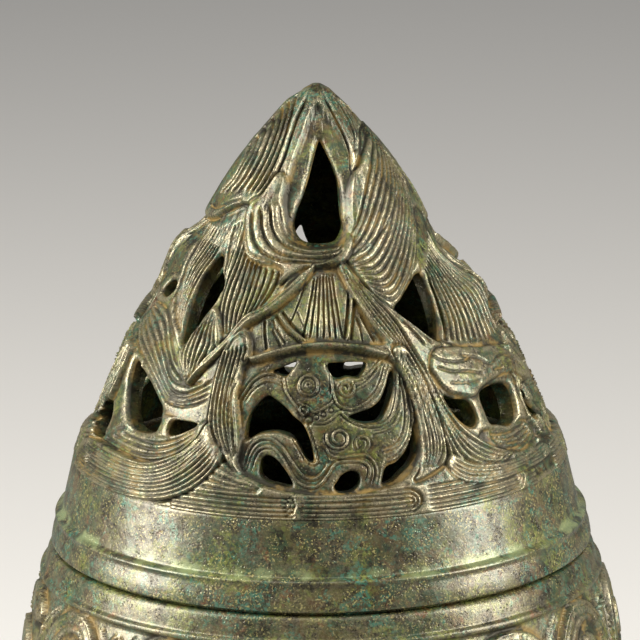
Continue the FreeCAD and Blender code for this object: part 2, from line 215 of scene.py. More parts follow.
def turnedTo(feature, middle, way=1.0):
    """A feature drawn round the front, moved round the mountain and mirrored if way is negative."""
    move = lambda points: [(middle + way * a, z) for a, z in points]
    new = dict(feature)
    if feature.get("outline"):
        new["outline"] = move(feature["outline"])
    new["bundles"] = [([move(g) for g in guides], *rest) for guides, *rest in feature.get("bundles", ())]
    new["cuts"] = [(move(p), *rest) for p, *rest in feature.get("cuts", ())]
    new["beads"] = [(move(p), *rest) for p, *rest in feature.get("beads", ())]
    new["dots"] = [((middle + way * c[0], c[1]), *rest) for c, *rest in feature.get("dots", ())]
    return new


def ringLine(a, z, r, perDegree, turns=1.0, start=0.0, grow=0.0, count=14):
    """A ring or a spiral of radius r mm round (a, z). grow shrinks it towards its middle."""
    k = np.linspace(0, 1, count)
    t = start + k * turns * 2 * math.pi
    size = r * (1 - grow * k)
    return [(a + s * math.cos(v) / perDegree, z + s * math.sin(v) * 0.9) for s, v in zip(size, t)]


# Camera, light and floor

studio = {
    "aim": (0.0003, 0.0, 0.1894), "distance": 1.1, "elevation": 14.3, "roll": -0.55, "lens": 281.5,
    "worldGrey": 0.20, "floorGrey": 0.80, "floorBounce": 0.22, "lampColour": (1.0, 0.965, 0.90),
    "leftKey": {"azimuth": -80, "rise": 24, "away": 1.05, "size": (0.44, 1.00), "power": 19.0},
    "rightKey": {"azimuth": 73, "rise": 24, "away": 1.05, "size": (0.34, 1.00), "power": 14.5},
    "topFill": {"azimuth": -12, "rise": 70, "away": 1.15, "size": (0.80, 0.50), "power": 2.0},
}


def addCamera():
    tilt = math.radians(studio["elevation"])
    roll = math.radians(studio["roll"])
    back = Vector((0, -math.cos(tilt), math.sin(tilt)))
    side = Vector((1, 0, 0))
    up = side.cross(-back)
    turnedSide = side * math.cos(roll) + up * math.sin(roll)
    turnedUp = up * math.cos(roll) - side * math.sin(roll)
    place = Vector(studio["aim"]) + back * studio["distance"]
    data = bpy.data.cameras.new("camera")
    data.lens = studio["lens"]
    data.sensor_width = 36.0
    data.clip_start = 0.05
    data.clip_end = 30.0
    camera = bpy.data.objects.new("camera", data)
    turn = Matrix((turnedSide, turnedUp, back)).transposed().to_4x4()
    camera.matrix_world = Matrix.Translation(place) @ turn
    bpy.context.scene.collection.objects.link(camera)
    bpy.context.scene.camera = camera


def addSoftbox(name):
    box = studio[name]
    data = bpy.data.lights.new(name, "AREA")
    data.shape = "RECTANGLE"
    data.size, data.size_y = box["size"]
    data.energy = box["power"]
    data.color = studio["lampColour"]
    light = bpy.data.objects.new(name, data)
    turn, rise = math.radians(box["azimuth"]), math.radians(box["rise"])
    way = Vector((math.sin(turn) * math.cos(rise), -math.cos(turn) * math.cos(rise), math.sin(rise)))
    light.location = Vector(studio["aim"]) + way * box["away"]
    light.rotation_euler = (-way).to_track_quat("-Z", "Y").to_euler()
    bpy.context.scene.collection.objects.link(light)


def addFloor():
    mesh = bpy.data.meshes.new("floor")
    half = 6.0
    mesh.from_pydata([(-half, -half, 0), (half, -half, 0), (half, half, 0), (-half, half, 0)], [],
                     [(0, 1, 2, 3)])
    floor = bpy.data.objects.new("floor", mesh)
    bpy.context.scene.collection.objects.link(floor)
    material = bpy.data.materials.new("floor_paper")
    material.use_nodes = True
    tree = material.node_tree
    shader = tree.nodes["Principled BSDF"]
    # The camera sees the floor paler than every other ray does
    seen, bounce = studio["floorGrey"], studio["floorBounce"]
    mix = tree.nodes.new("ShaderNodeMix")
    mix.data_type = "RGBA"
    mix.inputs["A"].default_value = (bounce, bounce, bounce, 1)
    mix.inputs["B"].default_value = (seen, seen * 0.99, seen * 0.97, 1)
    tree.links.new(tree.nodes.new("ShaderNodeLightPath").outputs["Is Camera Ray"], mix.inputs["Factor"])
    tree.links.new(mix.outputs["Result"], shader.inputs["Base Color"])
    shader.inputs["Roughness"].default_value = 0.85
    mesh.materials.append(material)


def setWorld():
    scene = bpy.context.scene
    world = bpy.data.worlds.new("soft_room")
    world.use_nodes = True
    grey = studio["worldGrey"]
    world.node_tree.nodes["Background"].inputs["Color"].default_value = (grey, grey, grey, 1)
    scene.world = world
    scene.view_settings.view_transform = "Standard"
    scene.view_settings.look = "None"


addCamera()
for name in ("leftKey", "rightKey", "topFill"):
    addSoftbox(name)
addFloor()
setWorld()
print("studio ready")


# Materials

patina = {
    "dark": (0.011, 0.011, 0.006), "olive": (0.090, 0.088, 0.028), "brown": (0.085, 0.048, 0.017),
    "green": (0.014, 0.062, 0.032), "moss": (0.200, 0.235, 0.052), "turquoise": (0.042, 0.200, 0.140),
    "ochre": (0.250, 0.165, 0.045), "grain": (0.520, 0.450, 0.170), "worn": (0.500, 0.435, 0.285),
    "rust": (0.160, 0.055, 0.016), "crust": (0.300, 0.380, 0.170),
    "iron": (0.060, 0.038, 0.026), "brightRust": (0.26, 0.12, 0.05),
}


# Size in mm, detail, roughness and distortion of the noise, and the noise where a patch begins and is full
patches = {
    "brown": (6.0, 6.0, 0.66, 0.0, 0.42, 0.58), "dark": (3.2, 7.0, 0.74, 0.5, 0.47, 0.57),
    "bloom": (11.0, 5.0, 0.62, 0.7, 0.42, 0.54), "bloomGrain": (1.4, 7.0, 0.75, 0.0, 0.34, 0.54),
    "moss": (8.5, 5.0, 0.62, 0.5, 0.50, 0.62), "mossGrain": (0.85, 5.0, 0.7, 0.0, 0.42, 0.60),
    "rust": (4.6, 7.0, 0.7, 0.3, 0.57, 0.68), "rustGrain": (0.7, 4.0, 0.7, 0.0, 0.36, 0.56),
    "spots": (6.0, 4.0, 0.6, 0.5, 0.52, 0.60), "spotsGrain": (0.95, 6.0, 0.7, 0.0, 0.46, 0.58),
    "fleck": (0.46, 2.0, 0.5, 0.0, 0.56, 0.66), "fleckField": (5.0, 4.0, 0.62, 0.0, 0.40, 0.56),
    "crust": (9.0, 5.0, 0.6, 0.0, 0.42, 0.56), "ochre": (6.5, 4.0, 0.6, 0.0, 0.47, 0.60),
    "mouth": (4.0, 4.0, 0.6, 0.0, 0.50, 0.68), "rubbed": (8.0, 6.0, 0.65, 0.0, 0.36, 0.58),
    "flaked": (3.2, 7.0, 0.72, 0.4, 0.50, 0.60), "pitted": (3.2, 4.0, 0.6, 0.0, 0.44, 0.62),
    "ironBrown": (2.2, 7.0, 0.7, 0.0, 0.42, 0.62), "ironBright": (0.7, 5.0, 0.7, 0.0, 0.58, 0.70),
}
# How strongly each layer covers what lies under it
cover = {"moss": 0.85, "crust": 0.75, "flaked": 0.75, "mossMatt": 0.7, "worn": 1.5, "green": (0.55, 0.4)}


class Shading:
    """Adds nodes one after another and links them, so that a material reads as a recipe."""

    def __init__(self, name):
        self.material = bpy.data.materials.new(name)
        self.material.use_nodes = True
        self.tree = self.material.node_tree
        self.shader = self.tree.nodes["Principled BSDF"]
        self.place = self.tree.nodes.new("ShaderNodeTexCoord").outputs["Object"]
        self.count = 0

    def node(self, kind, settings=None, **inputs):
        new = self.tree.nodes.new(kind)
        self.count += 1
        new.location = (-200 * (self.count % 8) - 300, 260 * (self.count // 8) - 400)
        for key, value in (settings or {}).items():
            setattr(new, key, value)
        for key, value in inputs.items():
            socket = new.inputs[int(key[1:])] if key[1:].isdigit() else new.inputs[key.replace("_", " ")]
            if isinstance(value, bpy.types.NodeSocket):
                self.tree.links.new(value, socket)
            else:
                socket.default_value = value
        return new

    def noise(self, size, detail=4.0, rough=0.55, distortion=0.0):
        """Noise whose lumps are about size mm across."""
        return self.node("ShaderNodeTexNoise", Vector=self.place, Scale=1.0 / (size * mm), Detail=detail,
                         Roughness=rough, Distortion=distortion).outputs["Fac"]

    def cells(self, size, feature="F1"):
        """Rounded cells about size mm apart."""
        return self.node("ShaderNodeTexVoronoi", {"feature": feature}, Vector=self.place,
                         Scale=1.0 / (size * mm)).outputs["Distance"]

    def ramp(self, value, low, high):
        """0 below low, 1 above high, soft in between."""
        return self.node("ShaderNodeMapRange", {"interpolation_type": "SMOOTHSTEP"}, Value=value,
                         From_Min=low, From_Max=high).outputs["Result"]

    def patch(self, name):
        """Soft patches of the kind listed in patches."""
        size, detail, rough, distortion, low, high = patches[name]
        return self.ramp(self.noise(size, detail, rough, distortion), low, high)

    def math(self, kind, a, b=0.0, c=0.0, clamp=False):
        return self.node("ShaderNodeMath", {"operation": kind, "use_clamp": clamp}, i0=a, i1=b,
                         i2=c).outputs[0]

    def times(self, a, b, clamp=False):
        return self.math("MULTIPLY", a, b, clamp=clamp)

    def mix(self, share, a, b):
        node = self.node("ShaderNodeMix", {"data_type": "RGBA"}, i0=share)
        for socket, value in ((node.inputs[6], a), (node.inputs[7], b)):
            if isinstance(value, bpy.types.NodeSocket):
                self.tree.links.new(value, socket)
            else:
                socket.default_value = (*value, 1)
        return node.outputs[2]

    def attribute(self, name):
        return self.node("ShaderNodeAttribute", {"attribute_name": name}).outputs["Fac"]

    def put(self, name, value):
        socket = self.shader.inputs[name]
        if isinstance(value, bpy.types.NodeSocket):
            self.tree.links.new(value, socket)
        else:
            socket.default_value = value

    def bump(self, height, distance, strength=1.0, before=None):
        node = self.node("ShaderNodeBump", Height=height, Distance=distance * mm, Strength=strength)
        if before is not None:
            self.tree.links.new(before, node.inputs["Normal"])
        return node.outputs["Normal"]


def bronzePatina(name, greenShare=0.5, wornShare=0.5, grainShare=0.5, gloss=0.3, ledge=None):
    """Old bronze: glossy olive-brown, verdigris in blooms, painted shade and ochre in the cuts, bare metal on
    the crests.

    ledge is the height in mm of an edge with a pale crust.
    """
    s = Shading(name)
    cut, crest, mouth = (s.attribute(mark) for mark in ("cut", "crest", "mouth"))
    colour = s.mix(s.patch("brown"), patina["olive"], patina["brown"])
    bloom = s.times(s.patch("bloom"), s.patch("bloomGrain"))
    least, more = cover["green"]
    colour = s.mix(s.times(bloom, least + more * greenShare), colour, patina["green"])
    colour = s.mix(s.patch("dark"), colour, patina["dark"])
    moss = s.times(s.patch("moss"), s.patch("mossGrain"))
    colour = s.mix(s.times(moss, cover["moss"]), colour, patina["moss"])
    colour = s.mix(s.times(s.patch("rust"), s.patch("rustGrain")), colour, patina["rust"])
    spots = s.times(s.patch("spots"), s.patch("spotsGrain"))
    colour = s.mix(s.times(spots, greenShare, clamp=True), colour, patina["turquoise"])
    fleck = s.times(s.patch("fleck"), s.patch("fleckField"))
    colour = s.mix(s.times(fleck, grainShare), colour, patina["grain"])
    if ledge is not None:
        high = s.node("ShaderNodeSeparateXYZ", Vector=s.place).outputs["Z"]
        line = s.math("ADD", high, s.times(s.math("SUBTRACT", s.noise(3.0, 6.0, 0.7), 0.5), 3.4 * mm))
        beside = s.math("ABSOLUTE", s.math("SUBTRACT", line, ledge * mm))
        band = s.math("SUBTRACT", 1.0, s.ramp(beside, 0.4 * mm, 1.8 * mm))
        band = s.times(band, s.patch("crust"))
        colour = s.mix(s.times(band, cover["crust"]), colour, patina["crust"])
    grain = s.noise(0.5, 6.0, 0.7)
    # Painted shade in the cuts: near black where the ochre patch is missing, an ochre deposit in the rest of
    # them.
    cutShadeAndOchre = s.times(cut, s.ramp(grain, 0.05, 0.50), clamp=True)
    colour = s.mix(cutShadeAndOchre, colour, s.mix(s.patch("ochre"), patina["dark"], patina["ochre"]))
    colour = s.mix(s.times(mouth, s.patch("mouth"), clamp=True), colour, patina["ochre"])
    rub = s.times(s.patch("rubbed"), s.ramp(grain, 0.34, 0.60))
    worn = s.times(s.times(crest, rub), wornShare * cover["worn"], clamp=True)
    colour = s.mix(worn, colour, patina["worn"])
    s.put("Base Color", colour)
    s.put("Metallic", s.math("MULTIPLY_ADD", worn, 0.70, 0.12, clamp=True))
    rough = s.math("MULTIPLY_ADD", s.noise(2.4, 6.0, 0.7), 0.36, 0.12)
    s.put("Roughness", s.math("MULTIPLY_ADD", cut, 0.25, rough, clamp=True))
    s.put("Specular IOR Level", 0.8)
    s.put("Specular Tint", (1.0, 0.93, 0.76, 1.0))
    flaked = s.times(s.patch("flaked"), cover["flaked"])
    matt = s.math("MAXIMUM", s.math("MAXIMUM", cut, flaked), s.times(moss, cover["mossMatt"]))
    s.put("Coat Weight", s.times(s.math("SUBTRACT", 1.0, matt, clamp=True), gloss))
    s.put("Coat Roughness", 0.26)
    pits = s.math("SUBTRACT", 1.0, s.ramp(s.cells(0.8), 0.08, 0.40))
    pits = s.times(pits, s.patch("pitted"))
    skin = s.bump(s.noise(9.0, 3.0, 0.5), 0.45, 0.8)
    skin = s.bump(s.noise(1.9, 8.0, 0.68), 0.12, 0.8, skin)
    skin = s.bump(s.noise(0.45, 4.0, 0.7), 0.05, 0.8, skin)
    skin = s.bump(s.times(pits, -1.0), 0.10, 0.9, skin)
    s.put("Normal", skin)
    s.put("Coat Normal", s.bump(s.noise(1.1, 7.0, 0.7), 0.08, 0.8,
                                s.bump(s.noise(8.0, 4.0, 0.55), 0.45, 0.8)))
    return s.material


def rustyIron(name):
    """Hammered wrought iron under dark rust."""
    s = Shading(name)
    colour = s.mix(s.patch("ironBrown"), patina["iron"], patina["rust"])
    colour = s.mix(s.patch("ironBright"), colour, patina["brightRust"])
    s.put("Base Color", colour)
    s.put("Metallic", 0.35)
    s.put("Roughness", s.math("MULTIPLY_ADD", s.noise(1.2, 4.0), 0.3, 0.5))
    dents = s.bump(s.cells(3.2, "SMOOTH_F1"), 0.5, 0.7)
    s.put("Normal", s.bump(s.noise(0.6, 6.0, 0.75), 0.12, 0.8, dents))
    return s.material


lidBronze = bronzePatina("lid_patina", 0.70, 0.55, 0.35, 0.35)
collarBronze = bronzePatina("collar_patina", 0.85, 0.20, 0.80, 0.80, ledge=148.2)
bowlBronze = bronzePatina("bowl_patina", 0.75, 0.48, 0.55, 0.40)
standBronze = bronzePatina("stand_patina", 0.60, 0.35, 0.50, 0.45)
iron = rustyIron("rust_iron")
print("materials ready")


# The mountain: outline, openings and carved layers

mountain = {
    "wall": 4.0, "baseZ": 158.8, "splitZ": 210.0, "frontStep": 0.335, "backStep": 0.50, "rowStep": 0.30,
    "backGroups": {"right": 98.0, "back": 180.0, "left": -101.0},
}
mountainProfile = np.array([
    (55.7, 155.0), (54.9, 158.0), (54.2, 160.0), (52.5, 165.0), (50.6, 170.0), (48.5, 175.0), (46.2, 180.0),
    (43.7, 185.0), (40.8, 190.0), (37.7, 195.0), (34.2, 200.0), (30.6, 205.0), (27.9, 208.0), (25.7, 211.0),
    (23.3, 215.0), (20.4, 220.0), (17.1, 225.0), (13.2, 230.0), (8.9, 235.0), (5.2, 239.0), (2.9, 241.3),
    (1.0, 242.4),
])

# Openings in a cave, as (degrees from the cave's middle, height)
caveOpenings = [
    [(-19.9, 175.4), (-19.8, 179.6), (-17.9, 182.2), (-14.9, 184.2), (-12.0, 183.4), (-9.0, 181.9),
     (-7.0, 180.4), (-4.6, 179.0), (-3.0, 176.9), (-2.0, 174.4), (-1.5, 171.9), (-2.4, 171.2), (-3.8, 172.3),
     (-5.3, 174.4), (-7.4, 176.3), (-10.4, 177.1), (-13.6, 177.1), (-16.8, 176.5)],
    [(-15.1, 170.2), (-14.6, 171.9), (-13.0, 172.5), (-10.8, 171.7), (-8.4, 169.6), (-6.6, 167.0),
     (-7.6, 166.3), (-10.0, 166.7), (-12.8, 167.2), (-14.8, 168.4)],
    [(3.3, 166.3), (4.2, 167.6), (5.4, 168.8), (7.4, 169.5), (9.3, 169.0), (9.8, 167.6), (9.0, 166.1),
     (7.2, 165.2), (4.4, 165.1)],
    [(15.1, 166.2), (15.5, 168.2), (16.6, 169.9), (19.4, 170.7), (22.2, 172.6), (24.4, 175.2), (25.3, 177.4),
     (25.6, 174.6), (24.9, 171.8), (23.0, 169.8), (20.6, 168.4), (17.8, 166.7)],
    [(2.6, 190.5), (4.0, 188.0), (6.0, 187.5), (8.6, 187.9), (11.6, 187.6), (13.4, 188.5), (14.8, 190.3),
     (12.0, 190.7), (7.0, 190.8)],
    [(8.0, 180.2), (10.4, 179.0), (13.6, 178.6), (16.4, 179.0), (18.6, 180.8), (20.6, 183.4), (22.2, 186.0),
     (22.6, 188.4), (21.2, 187.8), (19.6, 185.6), (17.4, 183.2), (14.4, 181.7), (11.0, 181.0)],
    [(-14.6, 189.0), (-11.6, 189.8), (-7.2, 190.9), (-8.4, 189.4), (-10.0, 188.1), (-12.6, 188.5)],
]
frontOpenings = {
    "leftHigh": [(-47.0, 206.5), (-43.0, 204.6), (-42.2, 201.4), (-43.6, 199.0), (-45.2, 196.6),
                 (-46.2, 193.6), (-47.4, 191.4), (-49.6, 192.2), (-52.0, 196.0), (-54.0, 200.0),
                 (-55.6, 204.6), (-54.0, 208.4), (-50.6, 208.6)],
    "leftWide": [(-67.5, 185.3), (-63.0, 184.6), (-57.0, 183.0), (-51.6, 180.8), (-48.2, 178.9),
                 (-46.5, 176.6), (-47.0, 174.2), (-50.0, 173.2), (-54.2, 172.9), (-58.2, 173.8),
                 (-62.4, 176.4), (-66.4, 181.0)],
    "leftSmall": [(-42.2, 175.4), (-41.2, 176.9), (-37.0, 177.3), (-33.6, 177.0), (-36.2, 175.4),
                  (-39.6, 174.1), (-41.6, 173.9)],
    "leftFar": [(-76.6, 171.0), (-74.6, 168.4), (-71.4, 167.9), (-68.6, 169.4), (-68.2, 172.8),
                (-70.0, 175.2), (-73.0, 176.0), (-75.8, 174.4)],
    "leftTiny": [(-75.0, 199.2), (-72.0, 198.2), (-68.4, 198.6), (-66.4, 200.2), (-69.0, 201.6),
                 (-73.0, 201.2)],
    "rightHigh": [(29.2, 199.7), (33.0, 201.4), (37.2, 203.0), (41.0, 204.3), (45.4, 205.4), (49.0, 205.0),
                  (48.0, 201.2), (46.2, 197.6), (44.0, 194.4), (41.4, 192.3), (38.2, 193.4), (34.2, 196.2)],
    "rightSlot": [(51.6, 203.6), (52.6, 202.6), (50.4, 198.6), (47.6, 194.6), (46.6, 194.0), (47.6, 196.4),
                  (50.0, 200.8)],
    "rightSmall": [(35.9, 181.9), (39.0, 180.9), (42.8, 180.2), (44.4, 178.4), (44.6, 176.0), (43.0, 174.8),
                   (41.0, 175.1), (38.4, 177.2), (36.8, 179.6)],
    "rightWide": [(49.0, 180.2), (52.0, 181.3), (57.0, 181.4), (61.0, 180.8), (63.0, 179.6), (62.8, 176.8),
                  (61.0, 173.9), (57.0, 172.7), (52.6, 173.7), (49.6, 174.4), (48.9, 177.0)],
    "rightFar": [(66.2, 176.0), (66.6, 172.8), (69.4, 171.4), (72.4, 172.4), (73.6, 175.4), (72.0, 178.2),
                 (69.4, 179.2), (67.2, 178.2)],
    "summit": [(3.0, 233.2), (7.0, 232.6), (11.6, 230.8), (16.0, 228.4), (18.2, 225.2), (17.0, 221.8),
               (15.7, 218.6), (15.9, 216.2), (13.0, 214.3), (9.0, 213.1), (0.0, 212.8), (-7.0, 213.1),
               (-11.6, 213.9), (-15.2, 215.6), (-16.0, 217.4), (-14.4, 219.9), (-11.4, 222.6), (-8.4, 225.6),
               (-5.4, 228.8), (-1.4, 231.8)],
}
backOpenings = {
    "pleatWindow": [(183.6, 199.4), (186.0, 203.4), (188.8, 206.6), (191.6, 203.4), (193.4, 199.6),
                    (188.4, 198.2)],
}


def allOpenings():
    found = [points for points in frontOpenings.values()] + list(caveOpenings) + list(backOpenings.values())
    groups = mountain["backGroups"]
    for middle, way in ((groups["right"], -1), (groups["back"], 1), (groups["left"], -1)):
        found += [[(middle + way * a, z) for a, z in points] for points in caveOpenings]
    for name, middle, to, squeeze in (("leftWide", -48, 139.2, 0.50), ("leftSmall", -48, 139.2, 0.50),
                                      ("rightWide", 47, -141, 0.38), ("rightSmall", 47, -141, 0.38),
                                      ("rightHigh", 40, 130, 1), ("leftHigh", -49, -137, 1)):
        found.append([(to + (a - middle) * squeeze, z) for a, z in frontOpenings[name]])
    return found


# The beast in its cave, with the post on each side, the lintel and the pleated peak above
beastCave = [
    {"outline": [(-22.6, 190.0), (-14.0, 192.2), (-5.0, 193.2), (6.0, 193.4), (14.0, 192.7), (21.6, 190.8),
                 (24.6, 187.6), (26.2, 182.0), (26.2, 175.0), (24.6, 170.0), (20.0, 166.8), (14.0, 165.3),
                 (4.0, 164.6), (-8.0, 165.3), (-16.0, 167.2), (-20.3, 169.6), (-20.8, 175.0), (-22.0, 180.0),
                 (-23.4, 185.0)],
     "level": -1.15, "edge": 0.3, "rim": 0.25,
     "beads": [
         (ringLine(-3.2, 186.3, 2.15, 0.765), 0.42, 0.26), (ringLine(-3.2, 186.3, 0.55, 0.765), 0.3, 0.2),
         (ringLine(-4.2, 181.6, 1.0, 0.80), 0.34, 0.22),
         ([(-6.0, 183.0), (-3.0, 182.2), (-1.6, 181.2), (0.6, 181.7), (2.6, 182.5), (4.2, 183.6)], 0.36,
          0.24),
         ([(-2.0, 179.2), (0.8, 179.0), (3.0, 179.7), (5.0, 180.9), (6.4, 181.1)], 0.36, 0.24),
         (ringLine(7.7, 185.6, 2.0, 0.76, turns=-1.35, start=0.9, grow=0.72, count=22), 0.36, 0.26),
         ([(9.6, 187.2), (12.0, 187.3), (14.6, 187.9), (17.0, 189.2), (19.4, 190.6)], 0.36, 0.24),
         ([(10.6, 185.4), (13.4, 186.3), (16.0, 187.6), (18.4, 189.3)], 0.34, 0.20),
         ([(3.9, 186.6), (4.2, 184.4), (5.4, 182.4), (8.4, 181.6), (12.0, 182.3), (15.6, 184.0),
           (18.6, 186.6), (20.8, 189.6)], 0.38, 0.30),
         ([(-10.5, 187.7), (-13.0, 188.3), (-16.4, 188.2), (-19.4, 186.9), (-21.6, 184.6), (-23.0, 182.0),
           (-22.0, 180.2)], 0.40, 0.30),
         ([(-10.6, 186.2), (-13.6, 187.1), (-17.0, 186.6), (-19.8, 184.9), (-21.6, 182.6)], 0.34, 0.22),
         (ringLine(4.9, 176.0, 2.7, 0.83, turns=1.3, start=2.6, grow=0.62, count=24), 0.38, 0.28),
         ([(1.6, 174.2), (2.4, 172.9), (4.6, 172.2), (8.0, 172.2), (11.4, 172.3), (13.2, 171.2),
           (13.9, 169.6), (13.6, 167.6), (12.8, 166.2)], 0.36, 0.26),
         (ringLine(10.9, 174.7, 1.5, 0.85, turns=0.8, start=-1.2, count=14), 0.34, 0.24),
         ([(5.8, 181.0), (8.2, 179.5), (11.2, 178.4), (14.2, 178.0), (17.0, 178.2), (19.4, 179.3),
           (21.4, 181.7), (22.9, 184.7), (24.0, 188.0)], 0.40, 0.30),
         ([(13.4, 176.6), (17.0, 177.0), (20.0, 178.0), (22.6, 180.6)], 0.34, 0.22),
         ([(16.0, 172.8), (19.4, 173.7), (22.0, 175.7), (23.8, 179.0), (24.7, 183.4), (24.4, 187.2)], 0.36,
          0.26),
         ([(16.2, 170.7), (19.2, 171.4), (22.0, 173.2), (24.3, 175.8), (25.6, 178.8), (25.9, 183.0)], 0.38,
          0.30),
         ([(-19.0, 170.2), (-18.6, 172.6), (-17.4, 174.5), (-15.2, 175.7), (-12.4, 175.7), (-9.7, 174.3),
           (-7.5, 172.0), (-5.3, 169.6), (-3.2, 168.1), (-1.0, 168.1), (0.8, 169.4), (2.4, 171.3)], 0.40,
           0.28),
         ([(-17.4, 169.2), (-16.9, 171.6), (-15.4, 173.6), (-12.8, 174.2), (-10.3, 173.0), (-8.1, 170.6),
           (-6.2, 168.2), (-4.4, 166.9), (-1.8, 166.3), (0.4, 167.2), (2.2, 169.2), (3.6, 170.8),
           (6.0, 171.4), (10.0, 171.2), (12.0, 170.2), (12.0, 168.4), (11.0, 166.8)], 0.38, 0.26),
         ([(-20.2, 175.0), (-17.4, 176.7), (-13.8, 177.5), (-10.2, 177.5), (-7.2, 176.4), (-5.2, 174.2),
           (-3.5, 172.0), (-1.6, 171.0), (-0.2, 171.8)], 0.38, 0.30),
         ([(-3.6, 178.9), (-2.2, 176.2), (-1.2, 173.4), (-0.6, 171.2)], 0.36, 0.28),
         ([(-8.6, 190.4), (-10.6, 188.6), (-9.8, 185.6), (-8.2, 183.8), (-5.6, 181.6), (-4.2, 180.0)], 0.36,
          0.26),
         ([(2.4, 190.6), (3.5, 188.6), (3.7, 186.0), (3.6, 184.4)], 0.36, 0.26),
     ],
     "dots": [((-3.1, 179.7), 0.85, 0.42), ((-0.9, 180.2), 0.5, 0.32), ((1.1, 180.7), 0.5, 0.32),
              ((3.2, 181.5), 0.5, 0.32)]},
    {"outline": [(-21.0, 191.2), (-12.0, 193.1), (-4.0, 194.1), (6.0, 194.2), (14.0, 193.4), (21.0, 191.7),
                 (20.0, 190.9), (12.0, 192.4), (4.0, 193.1), (-4.0, 193.0), (-12.0, 192.0), (-19.8, 190.2)],
     "level": 0.75, "edge": 0.35, "rim": 0.3},
]

# The rope band, the posts beside the cave and the peak over it
cavePosts = [
    {"outline": [(-26.0, 170.6), (-21.0, 168.9), (-16.0, 167.4), (-9.0, 165.6), (-7.0, 164.6), (-20.0, 164.2),
                 (-31.0, 164.0), (-29.0, 167.0)],
     "level": 0.60, "edge": 0.3,
     "bundles": [([[(-26.0, 169.6), (-20.0, 167.6), (-13.0, 166.0)],
                   [(-29.0, 165.2), (-22.0, 164.8), (-14.0, 164.7)]],
                  4, 0.5, 0.5)]},
    {"outline": [(-30.4, 192.4), (-28.6, 195.0), (-25.4, 196.2), (-22.6, 195.4), (-21.4, 192.6),
                 (-22.2, 188.0), (-23.6, 184.4), (-22.2, 180.4), (-20.7, 176.0), (-20.0, 171.0),
                 (-17.4, 168.2), (-20.4, 168.8), (-24.6, 171.8), (-28.0, 174.6), (-30.0, 177.0),
                 (-30.6, 183.0), (-30.9, 188.0)],
     "level": 0.85, "edge": 0.35, "rim": 0.5,
     "bundles": [([[(-29.4, 192.0), (-29.6, 186.0), (-29.2, 180.0), (-28.0, 176.4), (-25.4, 173.2)],
                   [(-26.2, 192.8), (-26.6, 186.0), (-26.2, 180.0), (-24.6, 175.4), (-21.8, 170.8)],
                   [(-22.8, 193.0), (-23.7, 187.4), (-24.6, 183.4), (-23.0, 178.4), (-21.2, 172.6),
                    (-19.2, 169.2)]],
                  6, 0.62, 0.50)],
     "beads": [([(-29.6, 191.6), (-28.4, 194.0), (-25.6, 195.2), (-23.0, 194.3), (-22.2, 191.8)], 0.5, 0.3)]},
    {"outline": [(23.4, 192.0), (27.6, 192.2), (30.4, 187.0), (31.8, 181.6), (32.6, 176.0), (32.4, 171.4),
                 (31.0, 168.8), (27.0, 167.2), (23.0, 166.4), (24.6, 168.4), (26.0, 171.8), (26.7, 176.0),
                 (26.4, 182.0), (25.0, 188.0)],
     "level": 0.85, "edge": 0.35, "rim": 0.5,
     "bundles": [([[(24.2, 191.4), (25.8, 187.0), (27.0, 182.0), (27.3, 176.0), (26.6, 171.0), (25.0, 168.2)],
                   [(27.0, 191.4), (29.8, 186.0), (31.0, 181.0), (31.7, 176.0), (31.3, 171.6),
                    (28.4, 168.2)]],
                  6, 0.62, 0.50)]},
]
rightFold = [
    {"outline": [(9.0, 208.2), (14.0, 208.4), (20.0, 203.6), (28.0, 199.4), (36.0, 194.8), (41.4, 191.8),
                 (36.0, 190.6), (33.0, 187.2), (34.4, 183.4), (35.8, 179.4), (38.4, 176.0), (41.6, 173.4),
                 (46.0, 170.6), (51.0, 168.6), (58.0, 167.0), (66.0, 167.6), (60.0, 165.4), (48.0, 165.4),
                 (38.0, 166.0), (33.4, 169.0), (32.8, 176.0), (31.9, 182.0), (30.2, 187.6), (27.6, 192.4),
                 (22.6, 193.4), (17.0, 199.0), (12.4, 204.4)],
     "level": 0.70, "edge": 0.4, "rim": 0.35,
     "bundles": [([[(10.0, 207.8), (15.4, 202.0), (20.0, 196.6), (24.2, 192.8), (28.2, 187.0), (31.6, 181.0),
                    (33.2, 175.4), (34.8, 169.6), (39.6, 166.8), (48.0, 166.0), (58.0, 165.6)],
                   [(13.4, 208.0), (19.6, 203.0), (26.0, 197.6), (30.0, 190.6), (33.0, 184.6), (35.2, 179.0),
                    (38.6, 174.0), (43.4, 170.6), (50.0, 168.0), (60.0, 167.0), (68.0, 167.8)]],
                  6, 0.62, 0.52),
                 ([[(16.0, 206.2), (24.0, 200.8), (31.0, 195.6), (34.6, 191.6)],
                   [(18.0, 205.8), (28.0, 199.8), (36.0, 195.0), (41.0, 192.0)]], 3, 0.55, 0.5)]},
    {"outline": [(31.6, 168.8), (34.0, 170.4), (37.0, 168.4), (42.0, 167.0), (54.0, 166.0), (68.0, 166.4),
                 (70.0, 163.6), (54.0, 163.2), (44.0, 163.2), (37.0, 164.2), (33.0, 166.2)],
     "level": 0.55, "edge": 0.35, "rim": 0.3,
     "bundles": [([[(31.8, 168.2), (34.6, 165.8), (38.4, 164.4), (46.0, 163.7), (56.0, 163.8), (68.0, 164.2)],
                   [(33.8, 169.6), (37.0, 167.5), (42.0, 166.3), (50.0, 165.5), (60.0, 165.4),
                    (69.0, 166.0)]],
                  4, 0.5, 0.45)]},
]
